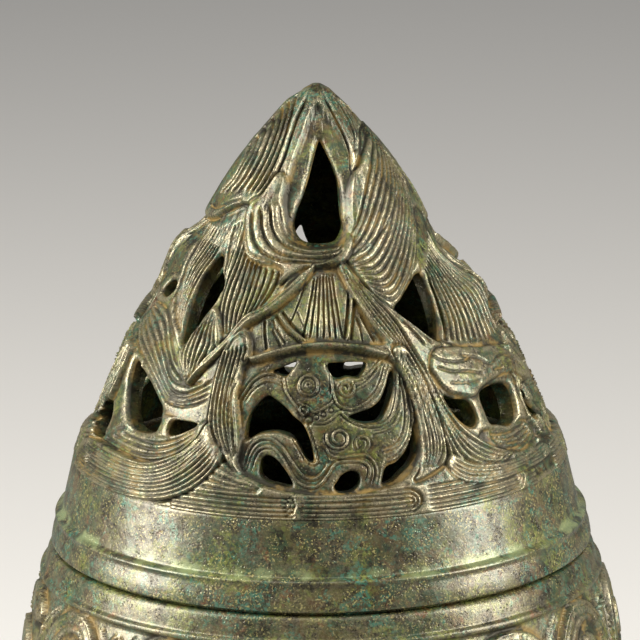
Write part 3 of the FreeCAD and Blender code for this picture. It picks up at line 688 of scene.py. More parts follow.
cavePeak = [
    {"outline": [(-3.6, 207.6), (2.0, 208.2), (8.6, 207.9), (12.0, 204.0), (16.6, 198.6), (21.6, 193.6),
                 (14.0, 193.8), (4.0, 194.6), (-5.0, 194.4), (-14.0, 193.0), (-21.0, 191.4), (-22.4, 194.0),
                 (-24.6, 196.8), (-18.0, 199.6), (-11.0, 203.0)],
     "level": -1.00, "edge": 0.35, "rim": 0.3,
     "bundles": [([[(-1.8, 206.6), (-3.8, 200.0), (-5.4, 195.2)], [(2.2, 207.4), (1.9, 201.0), (1.7, 195.0)],
                   [(6.0, 207.2), (7.0, 201.0), (8.0, 195.0)]], 7, 0.62, 0.45)],
     "cuts": [([(-6.0, 204.8), (-8.6, 200.4), (-10.4, 197.8)], 0.4, 0.45),
              ([(-19.6, 198.4), (-18.4, 195.4), (-17.0, 192.8)], 0.6, 0.7),
              ([(-16.4, 198.6), (-12.8, 194.4)], 0.4, 0.4), ([(-8.0, 200.4), (-4.2, 196.4)], 0.4, 0.4),
              ([(15.4, 199.4), (17.0, 196.6), (18.6, 194.0)], 0.45, 0.6),
              ([(13.4, 199.0), (14.4, 196.8), (14.6, 194.2)], 0.4, 0.5),
              ([(12.0, 203.6), (10.6, 199.0)], 0.4, 0.4)],
     "beads": [([(-14.6, 199.8), (-9.8, 197.0), (-4.6, 194.8)], 0.75, 0.6),
               ([(-15.2, 196.8), (-11.6, 193.8)], 0.5, 0.4),
               ([(13.0, 202.6), (11.2, 198.6), (9.6, 194.8)], 0.65, 0.5)]},
    {"outline": [(-2.0, 208.6), (-3.4, 207.2), (-9.0, 203.9), (-15.0, 200.9), (-21.6, 198.2), (-25.6, 196.6),
                 (-30.6, 191.8), (-36.2, 187.4), (-39.8, 184.2), (-37.6, 188.4), (-31.8, 193.4),
                 (-26.6, 198.6), (-20.0, 200.6), (-14.0, 203.4), (-8.0, 206.6)],
     "level": 0.55, "edge": 0.35, "rim": 0.35,
     "cuts": [([(-4.0, 207.6), (-12.0, 203.4), (-20.0, 199.8), (-26.0, 197.6), (-32.0, 192.4),
                (-37.0, 187.8)], 0.4, 0.3)]},
]

# Valleys and slopes left and right of the front cave
leftSide = [
    {"outline": [(-76.0, 197.0), (-66.0, 197.0), (-58.0, 194.6), (-51.0, 190.8), (-46.6, 188.4),
                 (-43.4, 186.2), (-40.0, 183.6), (-36.0, 186.6), (-31.0, 189.6), (-30.6, 184.0),
                 (-30.4, 178.0), (-34.0, 177.8), (-42.0, 177.8), (-46.4, 178.2), (-51.0, 181.4),
                 (-57.0, 183.9), (-64.0, 186.0), (-74.0, 187.8), (-84.0, 190.0)],
     "level": -0.60, "edge": 0.4, "rim": 0.25,
     "bundles": [([[(-80.0, 191.0), (-70.0, 187.8), (-60.0, 185.6), (-52.0, 182.7), (-46.6, 180.3),
                    (-40.0, 180.0), (-35.0, 181.0), (-31.2, 182.6)],
                   [(-78.0, 194.0), (-66.0, 191.6), (-57.0, 188.4), (-50.0, 184.6), (-45.4, 182.4),
                    (-40.4, 182.2), (-36.0, 183.8), (-31.2, 186.4)],
                   [(-76.0, 196.6), (-64.0, 196.4), (-57.0, 193.4), (-50.6, 189.6), (-46.6, 187.2),
                    (-43.4, 184.9), (-40.6, 183.4)]], 7, 0.55, 0.62)]},
    {"outline": [(-42.2, 199.8), (-45.0, 196.4), (-46.8, 192.4), (-46.2, 189.0), (-43.6, 186.8),
                 (-39.9, 184.2), (-36.4, 187.3), (-31.4, 192.0), (-34.0, 195.4), (-38.0, 198.8)],
     "level": 0.50, "edge": 0.35, "rim": 0.45,
     "bundles": [([[(-42.6, 199.0), (-45.0, 194.6), (-45.6, 190.6), (-43.4, 187.4), (-40.6, 185.3)],
                   [(-40.6, 199.4), (-40.4, 194.4), (-40.2, 190.0), (-40.0, 187.0), (-39.9, 185.0)],
                   [(-38.4, 198.2), (-35.6, 194.0), (-34.0, 191.4), (-36.4, 188.0), (-39.0, 185.4)]], 7, 0.6,
                   0.5)]},
    {"outline": [(-44.6, 217.6), (-42.6, 213.0), (-41.8, 206.0), (-42.6, 200.0), (-38.0, 199.0),
                 (-34.0, 195.4), (-31.6, 192.4), (-28.0, 197.4), (-22.0, 200.6), (-15.6, 203.2),
                 (-14.0, 206.6), (-18.0, 208.0), (-27.0, 208.6), (-35.0, 210.4), (-40.0, 214.4)],
     "level": -0.55, "edge": 0.5, "rim": 0.2,
     "bundles": [([[(-43.0, 214.0), (-41.0, 208.0), (-40.4, 203.0), (-38.0, 198.6), (-34.0, 194.6)],
                   [(-34.0, 209.6), (-33.0, 204.0), (-32.6, 199.0), (-31.0, 194.6)],
                   [(-26.4, 208.4), (-26.0, 204.4), (-26.6, 200.6), (-28.0, 197.6)],
                   [(-17.0, 207.4), (-18.0, 204.6), (-21.0, 201.6), (-24.0, 199.8)]], 10, 0.6, 0.6)]},
    {"outline": [(-44.8, 218.0), (-43.0, 212.0), (-42.4, 206.0), (-41.0, 199.8), (-46.0, 193.0),
                 (-48.6, 190.6), (-54.0, 193.0), (-64.0, 197.2), (-78.0, 197.4), (-84.0, 205.0),
                 (-78.0, 213.6), (-68.0, 214.6), (-56.0, 216.4)],
     "level": -0.30, "edge": 0.5, "rim": 0.15,
     "bundles": [([[(-46.0, 216.0), (-44.4, 210.4), (-43.0, 206.0), (-41.6, 202.4)],
                   [(-50.0, 215.0), (-47.6, 210.6), (-45.6, 208.0)]], 3, 0.5, 0.6),
                 ([[(-54.0, 215.0), (-56.4, 209.0), (-57.4, 203.0), (-55.0, 197.4), (-51.6, 193.0)],
                   [(-62.0, 213.6), (-62.6, 207.0), (-61.6, 201.6), (-58.6, 197.4), (-55.0, 194.2)],
                   [(-74.0, 213.6), (-70.0, 208.0), (-66.0, 202.8), (-63.0, 198.6)]], 8, 0.5, 0.7)]},
    {"outline": [(-72.0, 168.6), (-66.0, 169.6), (-60.0, 172.4), (-54.0, 172.2), (-47.0, 172.6),
                 (-40.6, 173.4), (-34.0, 176.2), (-31.0, 177.6), (-32.4, 174.6), (-36.4, 171.0),
                 (-42.0, 168.6), (-50.0, 167.6), (-60.0, 167.8), (-68.0, 167.6)],
     "level": -0.55, "edge": 0.45, "rim": 0.2,
     "bundles": [([[(-68.0, 169.0), (-60.0, 168.9), (-50.0, 168.7), (-42.0, 169.8), (-37.0, 172.0),
                    (-32.6, 175.8)],
                   [(-60.0, 171.4), (-50.0, 171.5), (-43.0, 172.0), (-37.0, 174.2), (-33.0, 176.6)]], 3, 0.45,
                   0.6)]},
    {"outline": [(-78.0, 165.8), (-68.0, 167.6), (-58.0, 167.5), (-48.0, 167.3), (-42.0, 168.5),
                 (-36.4, 170.9), (-32.2, 174.4), (-29.9, 177.4), (-27.0, 174.2), (-24.0, 171.4),
                 (-26.0, 168.6), (-29.6, 165.2), (-33.6, 162.8), (-38.6, 161.0), (-45.0, 160.0),
                 (-58.0, 159.4), (-80.0, 159.4)],
     "level": 0.85, "edge": 0.35, "rim": 0.45,
     "bundles": [([[(-79.0, 160.4), (-58.0, 160.4), (-45.0, 160.9), (-38.4, 162.0), (-33.4, 163.9),
                    (-29.4, 166.4), (-26.4, 169.4), (-25.2, 171.2)],
                   [(-78.0, 163.6), (-60.0, 163.4), (-48.0, 163.6), (-40.0, 165.0), (-35.0, 167.6),
                    (-31.0, 170.8), (-28.0, 173.6)],
                   [(-74.0, 166.2), (-62.0, 166.4), (-50.0, 166.2), (-42.4, 167.4), (-36.8, 169.9),
                    (-32.6, 173.2), (-30.0, 176.2)]], 9, 0.68, 0.55)],
     "beads": [(ringLine(-71.5, 163.2, 0.9, 0.93), 0.45, 0.3)]},
]
rightSide = [
    {"outline": [(46.0, 173.4), (52.0, 172.8), (57.0, 171.9), (62.0, 172.8), (66.6, 171.2), (67.6, 168.6),
                 (61.0, 167.0), (54.0, 167.2), (48.6, 169.4), (44.0, 172.2)],
     "level": -0.60, "edge": 0.4, "rim": 0.3,
     "bundles": [([[(49.0, 170.2), (54.0, 168.4), (60.0, 168.2), (66.0, 169.6)],
                   [(48.0, 172.4), (54.0, 171.4), (60.0, 171.6), (64.0, 171.6)]], 4, 0.45, 0.6)]},
    {"outline": [(42.4, 192.4), (46.6, 197.6), (49.0, 203.0), (50.0, 207.0), (58.0, 212.0), (72.0, 216.0),
                 (84.0, 214.0), (86.0, 204.0), (80.0, 194.0), (74.0, 187.4), (62.0, 188.6), (52.0, 189.6)],
     "level": -0.70, "edge": 0.5, "rim": 0.2,
     "bundles": [([[(44.6, 192.0), (47.6, 195.4), (51.0, 201.0), (53.4, 206.4)],
                   [(53.6, 190.6), (56.0, 195.0), (58.0, 201.0), (59.6, 208.0)],
                   [(64.0, 189.4), (67.0, 195.0), (68.4, 202.0), (69.0, 210.0)],
                   [(76.0, 189.4), (80.0, 196.0), (81.0, 204.0), (80.0, 212.0)]], 12, 0.62, 0.75)]},
    {"outline": [(28.0, 193.6), (33.0, 192.0), (40.0, 190.9), (48.0, 190.1), (56.0, 188.9), (63.0, 188.0),
                 (70.0, 185.4), (78.0, 181.0), (76.0, 178.4), (70.0, 180.4), (65.0, 182.2), (58.0, 182.5),
                 (50.0, 181.6), (46.0, 180.4), (41.0, 181.2), (36.4, 183.0), (33.6, 187.0)],
     "level": 0.75, "edge": 0.45, "rim": 0.3, "crown": 0.25,
     "cuts": [([(33.6, 190.6), (38.0, 188.4), (44.0, 187.4), (49.0, 187.6)], 0.5, 0.40),
              ([(35.4, 187.4), (40.0, 186.0), (46.0, 185.2), (52.0, 183.8)], 0.5, 0.40),
              ([(45.0, 188.6), (52.0, 187.0), (56.0, 185.2), (62.0, 186.0), (68.0, 184.4), (74.0, 180.6)],
               0.5, 0.42),
              ([(38.0, 184.0), (44.0, 183.2), (50.0, 182.8)], 0.4, 0.3),
              ([(56.0, 184.0), (62.0, 183.6)], 0.5, 0.35)]},
]
ropeBand = {
    "level": 0.45, "lowZ": 159.4, "highZ": 165.4,
    "ends": (-5.6, 23.8, 54.6, 86.0, 117.0, 150.0, 184.0, 215.0, 246.0, 276.0),
    "turns": ((3.4, 2.3), (2.4, 1.4), (1.5, 0.5)),    # the strands turn back at the end of each length
}

# The summit: folds under its opening, bands to the right, nested loops to the left
summitLayers = [
    {"outline": [(14.0, 207.6), (20.0, 203.8), (28.0, 199.8), (36.0, 203.0), (44.0, 206.2), (54.0, 209.8),
                 (66.0, 215.0), (80.0, 221.0), (96.0, 226.0), (96.0, 234.0), (70.0, 231.6), (50.0, 229.6),
                 (36.0, 227.0), (28.0, 225.6), (20.0, 222.0), (17.2, 217.0), (14.0, 212.4), (11.0, 209.8)],
     "level": 0.20, "edge": 0.45, "rim": 0.35,
     "bundles": [([[(19.0, 204.8), (28.0, 201.2), (38.0, 204.6), (50.0, 209.2), (64.0, 214.8), (80.0, 221.6)],
                   [(15.4, 207.6), (26.0, 208.4), (38.0, 212.2), (50.0, 217.0), (64.0, 222.0), (82.0, 227.0)],
                   [(15.4, 212.6), (24.0, 217.0), (34.0, 222.4), (46.0, 226.4), (60.0, 229.0),
                    (84.0, 232.0)]],
                  12, 0.52, 0.62)],
     "cuts": [([(12.6, 209.4), (17.0, 206.0), (23.0, 201.6)], 0.5, 0.5),
              ([(20.0, 210.4), (34.0, 213.6), (48.0, 217.4), (60.0, 220.6)], 0.6, 0.45)]},
    {"outline": [(30.0, 226.4), (40.0, 228.8), (52.0, 231.2), (66.0, 233.4), (84.0, 234.4), (84.0, 242.0),
                 (30.0, 242.0), (34.0, 237.0), (36.0, 232.6), (33.6, 229.0)],
     "level": 0.25, "edge": 0.45, "rim": 0.5,
     "bundles": [([[(36.0, 229.4), (46.0, 232.0), (54.0, 236.0), (60.0, 240.4)],
                   [(42.0, 229.6), (58.0, 232.6), (74.0, 235.6), (90.0, 237.0)]], 4, 0.5, 0.6)]},
    {"outline": [(-36.0, 241.6), (-34.6, 236.0), (-31.4, 230.0), (-33.0, 225.0), (-37.6, 221.0),
                 (-42.0, 219.0), (-50.0, 218.9), (-60.0, 216.9), (-72.0, 214.4), (-88.0, 213.6),
                 (-104.0, 216.0), (-112.0, 226.0), (-108.0, 236.0), (-90.0, 240.8), (-60.0, 241.8)],
     "level": 0.75, "edge": 0.45, "rim": 0.55,
     "bundles": [([[(-74.0, 239.8), (-55.0, 238.6), (-42.0, 235.4), (-36.2, 230.4), (-36.8, 225.0),
                    (-41.6, 220.6)],
                   [(-84.0, 237.0), (-66.0, 236.2), (-53.0, 233.6), (-46.6, 229.4), (-46.0, 224.6),
                    (-50.0, 220.6)],
                   [(-88.0, 232.6), (-74.0, 232.4), (-64.0, 229.8), (-58.6, 226.4), (-58.6, 223.0),
                    (-64.0, 219.8)],
                   [(-90.0, 228.6), (-80.0, 228.8), (-73.0, 227.0), (-69.6, 224.6), (-71.0, 222.0),
                    (-78.0, 218.6)]],
                  7, 0.75, 0.75)],
     "cuts": [([(-50.0, 219.6), (-60.0, 218.3), (-72.0, 216.3), (-84.0, 215.8)], 0.6, 0.5)]},
    {"outline": [(-44.0, 218.6), (-37.0, 221.4), (-32.0, 225.0), (-27.0, 226.0), (-20.0, 223.0),
                 (-18.4, 218.0), (-14.0, 213.8), (-6.0, 212.2), (4.0, 212.0), (11.0, 212.8), (16.0, 215.6),
                 (18.0, 212.8), (13.0, 209.4), (6.0, 208.4), (-3.0, 208.5), (-10.0, 207.0), (-16.0, 205.0),
                 (-15.0, 207.4), (-20.0, 208.4), (-28.0, 208.6), (-36.0, 210.0), (-41.0, 213.6)],
     "level": 0.75, "edge": 0.4, "rim": 0.3, "crown": 0.3,
     "bundles": [([[(-44.6, 217.6), (-40.0, 213.2), (-34.0, 210.0), (-26.0, 209.0), (-19.6, 208.6),
                    (-15.2, 207.0)],
                   [(-37.4, 218.6), (-33.4, 214.2), (-27.0, 211.0), (-18.0, 209.3), (-8.0, 208.9),
                    (4.0, 209.0), (12.0, 210.2)],
                   [(-30.0, 219.4), (-26.0, 215.0), (-19.0, 212.0), (-10.0, 210.6), (0.0, 210.3),
                    (9.0, 210.8), (15.0, 213.0)],
                   [(-24.4, 220.6), (-21.4, 217.0), (-16.6, 213.8), (-9.0, 212.0), (0.0, 211.5),
                    (10.0, 212.2), (16.0, 214.6)]], 5, 0.75, 0.62)]},
    {"outline": [(-12.0, 236.8), (0.0, 238.8), (12.0, 238.0), (22.0, 235.6), (29.0, 231.6), (29.6, 227.4),
                 (24.0, 223.6), (20.0, 219.4), (18.6, 215.6), (13.0, 212.8), (0.0, 211.9), (-9.0, 212.3),
                 (-15.4, 214.0), (-19.6, 217.4), (-22.6, 221.6), (-22.0, 226.4), (-19.0, 231.4)],
     "level": -1.05, "edge": 0.7, "rim": 0.2},
]
print("mountain drawn:", len(allOpenings()), "openings")


def mountainGrid():
    """Rings of (angle, height): fine in front, coarser behind, half as many columns above splitZ."""
    frontCount = int(180 / mountain["frontStep"] * fine) // 2 * 2
    backCount = int(180 / mountain["backStep"] * fine) // 2 * 2
    front = np.linspace(-90, 90, frontCount, endpoint=False)
    back = np.linspace(90, 270, backCount, endpoint=False)
    columns = np.concatenate([front, back])
    z = np.linspace(mountain["baseZ"], mountainProfile[-1, 1], 4000)
    r = np.interp(z, mountainProfile[:, 1], mountainProfile[:, 0])
    run = np.concatenate([[0], np.cumsum(np.hypot(np.diff(z), np.diff(r)))])
    splitRun = np.interp(mountain["splitZ"], z, run)
    lowRows = int(splitRun / mountain["rowStep"] * fine)
    highRows = int((run[-1] - splitRun) / mountain["rowStep"] * fine)
    low = np.interp(np.linspace(0, splitRun, lowRows), run, z)
    high = np.interp(np.linspace(splitRun, run[-1], highRows + 1)[1:], run, z)
    return columns, low, high


def gridFaces(columns, lowRows, highRows):
    """Quads of the lower rings, triangles that halve the columns, quads of the upper rings, the tip's fan."""
    n = len(columns)
    half = n // 2
    i, j = np.meshgrid(np.arange(lowRows - 1), np.arange(n), indexing="ij")
    k = (j + 1) % n
    quads = [np.stack([i * n + j, i * n + k, (i + 1) * n + k, (i + 1) * n + j], -1).reshape(-1, 4)]
    start = lowRows * n
    i, j = np.meshgrid(np.arange(highRows - 1), np.arange(half), indexing="ij")
    k = (j + 1) % half
    quads.append(np.stack([start + i * half + j, start + i * half + k, start + (i + 1) * half + k,
                           start + (i + 1) * half + j], -1).reshape(-1, 4))
    j = np.arange(half)
    k = (j + 1) % half
    ring = (lowRows - 1) * n
    quads.append(np.stack([ring + 2 * j + 1, ring + (2 * j + 2) % n, start + k, start + j], -1))
    triangles = np.stack([ring + 2 * j, ring + 2 * j + 1, start + j], -1)
    tip = start + highRows * half
    last = start + (highRows - 1) * half
    fan = np.stack([last + j, last + k, np.full(half, tip)], -1)
    return np.vstack(quads), np.vstack([triangles, fan])


def boundary(faceSets, count):
    """Directed edges that only one face has."""
    edges = []
    for faces in faceSets:
        for a in range(faces.shape[1]):
            edges.append(np.stack([faces[:, a], faces[:, (a + 1) % faces.shape[1]]], 1))
    edges = np.vstack(edges).astype(np.int64)
    forward = edges[:, 0] * count + edges[:, 1]
    backward = edges[:, 1] * count + edges[:, 0]
    return edges[~np.isin(forward, backward)]


def vertexNormals(points, faceSets):
    total = np.zeros_like(points)
    for faces in faceSets:
        if not len(faces):
            continue
        a, b, c, d = (points[faces[:, k]] for k in (0, 1, 2, faces.shape[1] - 1))
        normal = np.cross(c - a, d - b) if faces.shape[1] == 4 else np.cross(b - a, c - a)
        for k in range(faces.shape[1]):
            for axis in range(3):
                total[:, axis] += np.bincount(faces[:, k], normal[:, axis], len(points))
    size = np.linalg.norm(total, axis=1, keepdims=True)
    return total / np.maximum(size, 1e-12)


def makePiece(name, points, faceSets, material, body, node, normals=None, marks=None):
    """A mesh object in metres from points in mm and lists of equal-sided faces."""
    used = np.zeros(len(points), bool)
    for faces in faceSets:
        used[faces.ravel()] = True
    index = np.cumsum(used) - 1
    mesh = bpy.data.meshes.new(name)
    where = points[used] * mm
    corners = np.concatenate([index[f].ravel() for f in faceSets])
    sizes = np.concatenate([np.full(len(f), f.shape[1]) for f in faceSets])
    mesh.vertices.add(len(where))
    mesh.vertices.foreach_set("co", where.ravel())
    mesh.loops.add(len(corners))
    mesh.loops.foreach_set("vertex_index", corners)
    mesh.polygons.add(len(sizes))
    mesh.polygons.foreach_set("loop_start", np.concatenate([[0], np.cumsum(sizes)[:-1]]))
    mesh.polygons.foreach_set("use_smooth", np.ones(len(sizes), bool))
    mesh.update(calc_edges=True)
    for key, values in (marks or {}).items():
        layer = mesh.attributes.new(key, "FLOAT", "POINT")
        layer.data.foreach_set("value", values[used].astype(np.float32))
    if normals is not None:
        mesh.normals_split_custom_set_from_vertices(normals[used].tolist())
    mesh.materials.append(material)
    piece = bpy.data.objects.new(name, mesh)
    bpy.context.scene.collection.objects.link(piece)
    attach(piece, body)
    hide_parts(node)
    return piece


def ringBlur(field, width, times=2):
    """Soft average over a grid of rings."""
    for _ in range(times):
        total = field.copy()
        for k in range(1, width + 1):
            up = np.vstack([field[k:], np.repeat(field[-1:], k, 0)])
            down = np.vstack([np.repeat(field[:1], k, 0), field[:-k]])
            total += up + down
        field = total / (2 * width + 1)
        total = field.copy()
        for k in range(1, width + 1):
            total += np.roll(field, k, 1) + np.roll(field, -k, 1)
        field = total / (2 * width + 1)
    return field


swells = [    # degrees, height, reach across, reach up, how far it stands out
    (-90, 207.0, 22, 4.0, 1.9), (-88, 190.0, 26, 7.0, 0.7), (-96, 174.0, 30, 6.0, -0.5),
    (90, 206.5, 24, 6.0, -2.1), (92, 198.0, 24, 3.4, 1.4), (-92, 199.0, 24, 5.0, 0.9),
    (90, 193.0, 30, 10.0, 0.8), (-100, 194.0, 20, 5.0, -1.6), (100, 194.0, 20, 5.0, -1.7),
    (150, 206.0, 18, 6.0, 1.2), (205, 212.0, 20, 7.0, 0.9), (240, 196.0, 16, 6.0, 0.9),
]
flares = {"summit": (1.5, 2.2), "leftHigh": (0.9, 1.3), "leftWide": (0.8, 1.2), "rightHigh": (0.8, 1.2),
          "rightWide": (0.7, 1.0)}


def openMountain(carving, quads, triangles):
    """Takes out the faces over each opening and draws the edge points onto its outline."""
    gap = np.full(len(carving.angle), 9.0)
    way = np.zeros((len(carving.angle), 2))
    for outline in allOpenings():
        at, d, toEdge = carving.signed(outline, 2.5)
        closer = d < gap[at]
        gap[at[closer]] = d[closer]
        way[at[closer]] = toEdge[closer]
    cell = 0.3 / fine
    kept = gap > -0.45 * cell
    openQuads = ~kept[quads].all(1)
    openTriangles = ~kept[triangles].all(1)
    touched = np.zeros(len(gap), bool)
    touched[quads[openQuads].ravel()] = True
    edge = touched & kept
    carving.angle[edge] += way[edge, 0]
    carving.height[edge] += way[edge, 1]
    gap[edge] = 0.0
    carving.measure()
    return quads[~openQuads], triangles[~openTriangles], gap


def carveMountain(carving, gap):
    """Every field and line of the relief, from the back to the front."""
    far = ropeBand["highZ"]
    carving.depth += waves(carving.angle, carving.height, 5, (0.35, 0.22), (10, 12))
    groups = mountain["backGroups"]
    stripes = [[[(a, 192.0), (a + 6, 200.0), (a + 14, 208.0), (a + 26, 216.0)] for a in (start, start + 16)]
               for start in range(84, 276, 16)]
    crags = [[[(a, 213.0), (a + 7, 220.0), (a + 12, 228.0), (a + 14, 237.0)] for a in (start, start + 24)]
             for start in range(88, 250, 27)]
    for guides in stripes:
        carving.layer(bundles=[(guides, 6, 0.45, 0.7)])
    for guides in crags:
        outline = guides[0] + guides[1][::-1]
        carving.layer(outline, 0.15, 0.4, 0.25, bundles=[(guides, 7, 0.40, 0.75)])
    for name, middle, way in (("back", groups["back"], 1), ("right", groups["right"], -1),
                              ("left", groups["left"], -1)):
        fold = rightFold[:1] if name == "back" else []
        for feature in fold + cavePosts + beastCave + cavePeak:
            carving.layer(**turnedTo(feature, middle, way))
    for feature in leftSide + rightSide:
        carving.layer(**feature)
    inBand = (carving.height > ropeBand["lowZ"] - 1) & (carving.height < far + 0.4)
    share = step((far + 0.2 - carving.height) / 0.5) * inBand
    behind = np.abs(np.mod(carving.angle + 180, 360) - 180) > 72
    share = np.where(behind | (np.abs(carving.angle - 12) < 48), share, 0)
    carving.depth = carving.depth * (1 - share) + ropeBand["level"] * share
    bands = np.zeros_like(carving.depth)
    ends = ropeBand["ends"]
    for left, right in zip(ends, ends[1:] + (ends[0] + 360,)):
        for across, up in ropeBand["turns"]:
            bend = [(right - 3.6 + across * math.cos(t), 162.5 + up * math.sin(t))
                    for t in np.linspace(1.57, -1.57, 9)]
            strand = [(left + 0.8, 162.5 + up), ((left + right) / 2 - 3, 162.6 + up)] + bend
            strand += [((left + right) / 2 - 3, 162.4 - up), (left + 0.8, 162.5 - up)]
            carving.stroke(bands, strand, 0.46, 0.55, taper=0.02)
    carving.depth += bands * share
    for feature in cavePosts + rightFold + leftSide[-1:] + beastCave + cavePeak + summitLayers:
        carving.layer(**feature)
    for name, (deep, reach) in flares.items():
        at, d, way = carving.signed(frontOpenings[name], 3 * reach)
        carving.depth[at] -= deep * np.exp(-np.maximum(d, 0) / reach)
    for a, z, across, up, out in swells:
        off = np.mod(carving.angle - a + 180, 360) - 180
        carving.depth += out * np.exp(-(off / across) ** 2 - ((carving.height - z) / up) ** 2)
    below = step((ropeBand["lowZ"] + 0.4 - carving.height) / 0.5)
    carving.depth = carving.depth * (1 - below) - 0.9 * below
    carving.depth -= 0.55 * np.exp(-np.maximum(gap, 0) / 0.35)
    carving.depth += waves(carving.angle, carving.height, 11, (0.07, 0.05, 0.03), (90, 60))


def buildMountain():
    columns, low, high = mountainGrid()
    n, half = len(columns), len(columns) // 2
    angle = np.concatenate([np.tile(columns, len(low)),
                            np.tile(columns[::2] + (columns[1] - columns[0]) / 2, len(high)), [0.0]])
    height = np.concatenate([np.repeat(low, n), np.repeat(high, half), [mountainProfile[-1, 1] + 0.1]])
    quads, triangles = gridFaces(columns, len(low), len(high))
    carving = Carving(mountainProfile, angle, height)
    quads, triangles, gap = openMountain(carving, quads, triangles)
    print("mountain opened")
    carveMountain(carving, gap)
    print("mountain carved")
    slope = np.gradient(mountainProfile[:, 0], mountainProfile[:, 1])
    tilt = np.interp(carving.height, mountainProfile[:, 1], np.arctan(-slope))
    tip = step((carving.height - 238.0) / 4.0)
    depth = carving.depth * (1 - tip)
    turn = np.radians(carving.angle)
    r = carving.radius + depth * np.cos(tilt)
    r[-1] = 0.0
    z = carving.height + depth * np.sin(tilt)
    outer = np.stack([r * np.sin(turn), -r * np.cos(turn), z], 1)
    lean = 0.55 * tilt
    wall = np.minimum(mountain["wall"], carving.radius * 0.8)
    rIn = carving.radius - 0.4 - wall * np.cos(lean)
    rIn[-1] = 0.0
    zIn = carving.height - mountain["wall"] * np.sin(lean) - 2.5 * tip
    inner = np.stack([rIn * np.sin(turn), -rIn * np.cos(turn), zIn], 1)
    count = len(outer)
    shares = (0.07, 0.22, 0.55)
    rims = [outer * (1 - f) + inner * f for f in shares]
    points = np.vstack([outer] + rims + [inner])
    innerQuads = quads[:, ::-1] + count * 4
    innerTriangles = triangles[:, ::-1] + count * 4
    edges = boundary([quads, triangles], count)
    walls = []
    for k in range(4):
        a, b = edges[:, 0] + count * k, edges[:, 1] + count * k
        walls.append(np.stack([b, a, a + count, b + count], 1))
    walls = np.vstack(walls)
    normals = vertexNormals(points, [quads, triangles, innerQuads, innerTriangles, walls])
    lowGrid = carving.depth[:n * len(low)].reshape(len(low), n)
    highGrid = carving.depth[n * len(low):-1].reshape(len(high), half)
    wide = max(1, int(3 * fine))
    relief = np.concatenate([(lowGrid - ringBlur(lowGrid, wide)).ravel(),
                             (highGrid - ringBlur(highGrid, wide)).ravel(), [0.0]])
    cut = np.clip(-relief / 0.17, 0, 1)
    crest = np.clip((relief - 0.015) / 0.14, 0, 1)
    mouth = np.exp(-np.maximum(gap, 0) / 0.5)
    full = lambda a, b: np.concatenate([a, b, b, b * 0, b * 0])
    marks = {"cut": full(cut, cut * 0.3), "crest": full(crest, crest * 0), "mouth": full(mouth, mouth * 0.8)}
    marks["mouth"][count * 3:] = 0.15
    middle = lambda faces: np.mod(np.degrees(np.arctan2(points[faces].mean(1)[:, 0],
                                                        -points[faces].mean(1)[:, 1])), 360)
    isHigh = lambda faces: points[faces].mean(1)[:, 2] > mountain["splitZ"] + 0.3
    cuts = {False: (30.0, 93.0, 150.0, 216.0, 268.0, 330.0), True: (30.0, 210.0)}
    sets = [quads, triangles, innerQuads, innerTriangles, walls]
    for upper in (False, True):
        starts = cuts[upper]
        for k, start in enumerate(starts):
            width = (starts[(k + 1) % len(starts)] - start) % 360 or 360
            chosen = []
            for faces in sets:
                if not len(faces):
                    continue
                rows = (np.mod(middle(faces) - start, 360) < width) & (isHigh(faces % count) == upper)
                chosen.append(faces[rows])
            name = ("lid_summit_" if upper else "lid_slopes_") + "abcdef"[k]
            makePiece(name, points, [c for c in chosen if len(c)], lidBronze, "lid", "lid",
                      normals, marks)
            print(name, sum(len(c) * (c.shape[1] - 2) for c in chosen), "triangles")


buildMountain()


# Plain parts of the lid, the bowl and the stand: closed outlines turned round the axis

def turnPiece(name, profile, carve, material, body, node, columns=720, fineness=0.8, zone=None,
              shares=1):
    """A closed (radius, height) outline turned round the axis. carve may cut into its surface.

    A zone (least radius, low, high, spacing outside it) keeps the fine rings to that height.
    The piece is handed over in this many equal shares round the axis.
    """
    profile = np.asarray(profile, float)
    line = []
    for a, b in zip(profile, np.roll(profile, -1, 0)):
        plain = zone and not (min(a[0], b[0]) > zone[0] and max(a[1], b[1]) > zone[1]
                              and min(a[1], b[1]) < zone[2])
        steps = max(1, int(math.hypot(*(b - a)) / (zone[3] if plain else fineness) * fine))
        line.append(a + (b - a) * np.linspace(0, 1, steps, endpoint=False)[:, None])
    line = np.vstack(line)
    n = int(columns * fine)
    m = len(line)
    ahead, behind = np.roll(line, -1, 0), np.roll(line, 1, 0)
    along = ahead - behind
    size = np.maximum(np.hypot(*along.T), 1e-9)
    out = np.stack([along[:, 1], -along[:, 0]], 1) / size[:, None]
    turn = np.linspace(0, 2 * math.pi, n, endpoint=False)
    degrees = np.degrees(turn)
    depth, marks = (np.zeros((m, n)), {}) if carve is None else carve(line, out, degrees)
    r = line[:, :1] + out[:, :1] * depth
    z = line[:, 1:] + out[:, 1:] * depth
    points = np.stack([r * np.sin(turn), -r * np.cos(turn), z], -1).reshape(-1, 3)
    i, j = np.meshgrid(np.arange(m), np.arange(n), indexing="ij")
    k, up = (j + 1) % n, (i + 1) % m
    quads = np.stack([i * n + j, i * n + k, up * n + k, up * n + j], -1).reshape(-1, 4)
    marks = {a: b.ravel() for a, b in marks.items()}
    normals = vertexNormals(points, [quads]) if shares > 1 else None
    for share in range(shares):
        part = quads[(quads[:, 0] % n) * shares // n == share]
        partName = name + ("_" + "abcd"[share] if shares > 1 else "")
        makePiece(partName, points, [part], material, body, node, normals, marks)
        print(partName, len(part) * 2, "triangles")


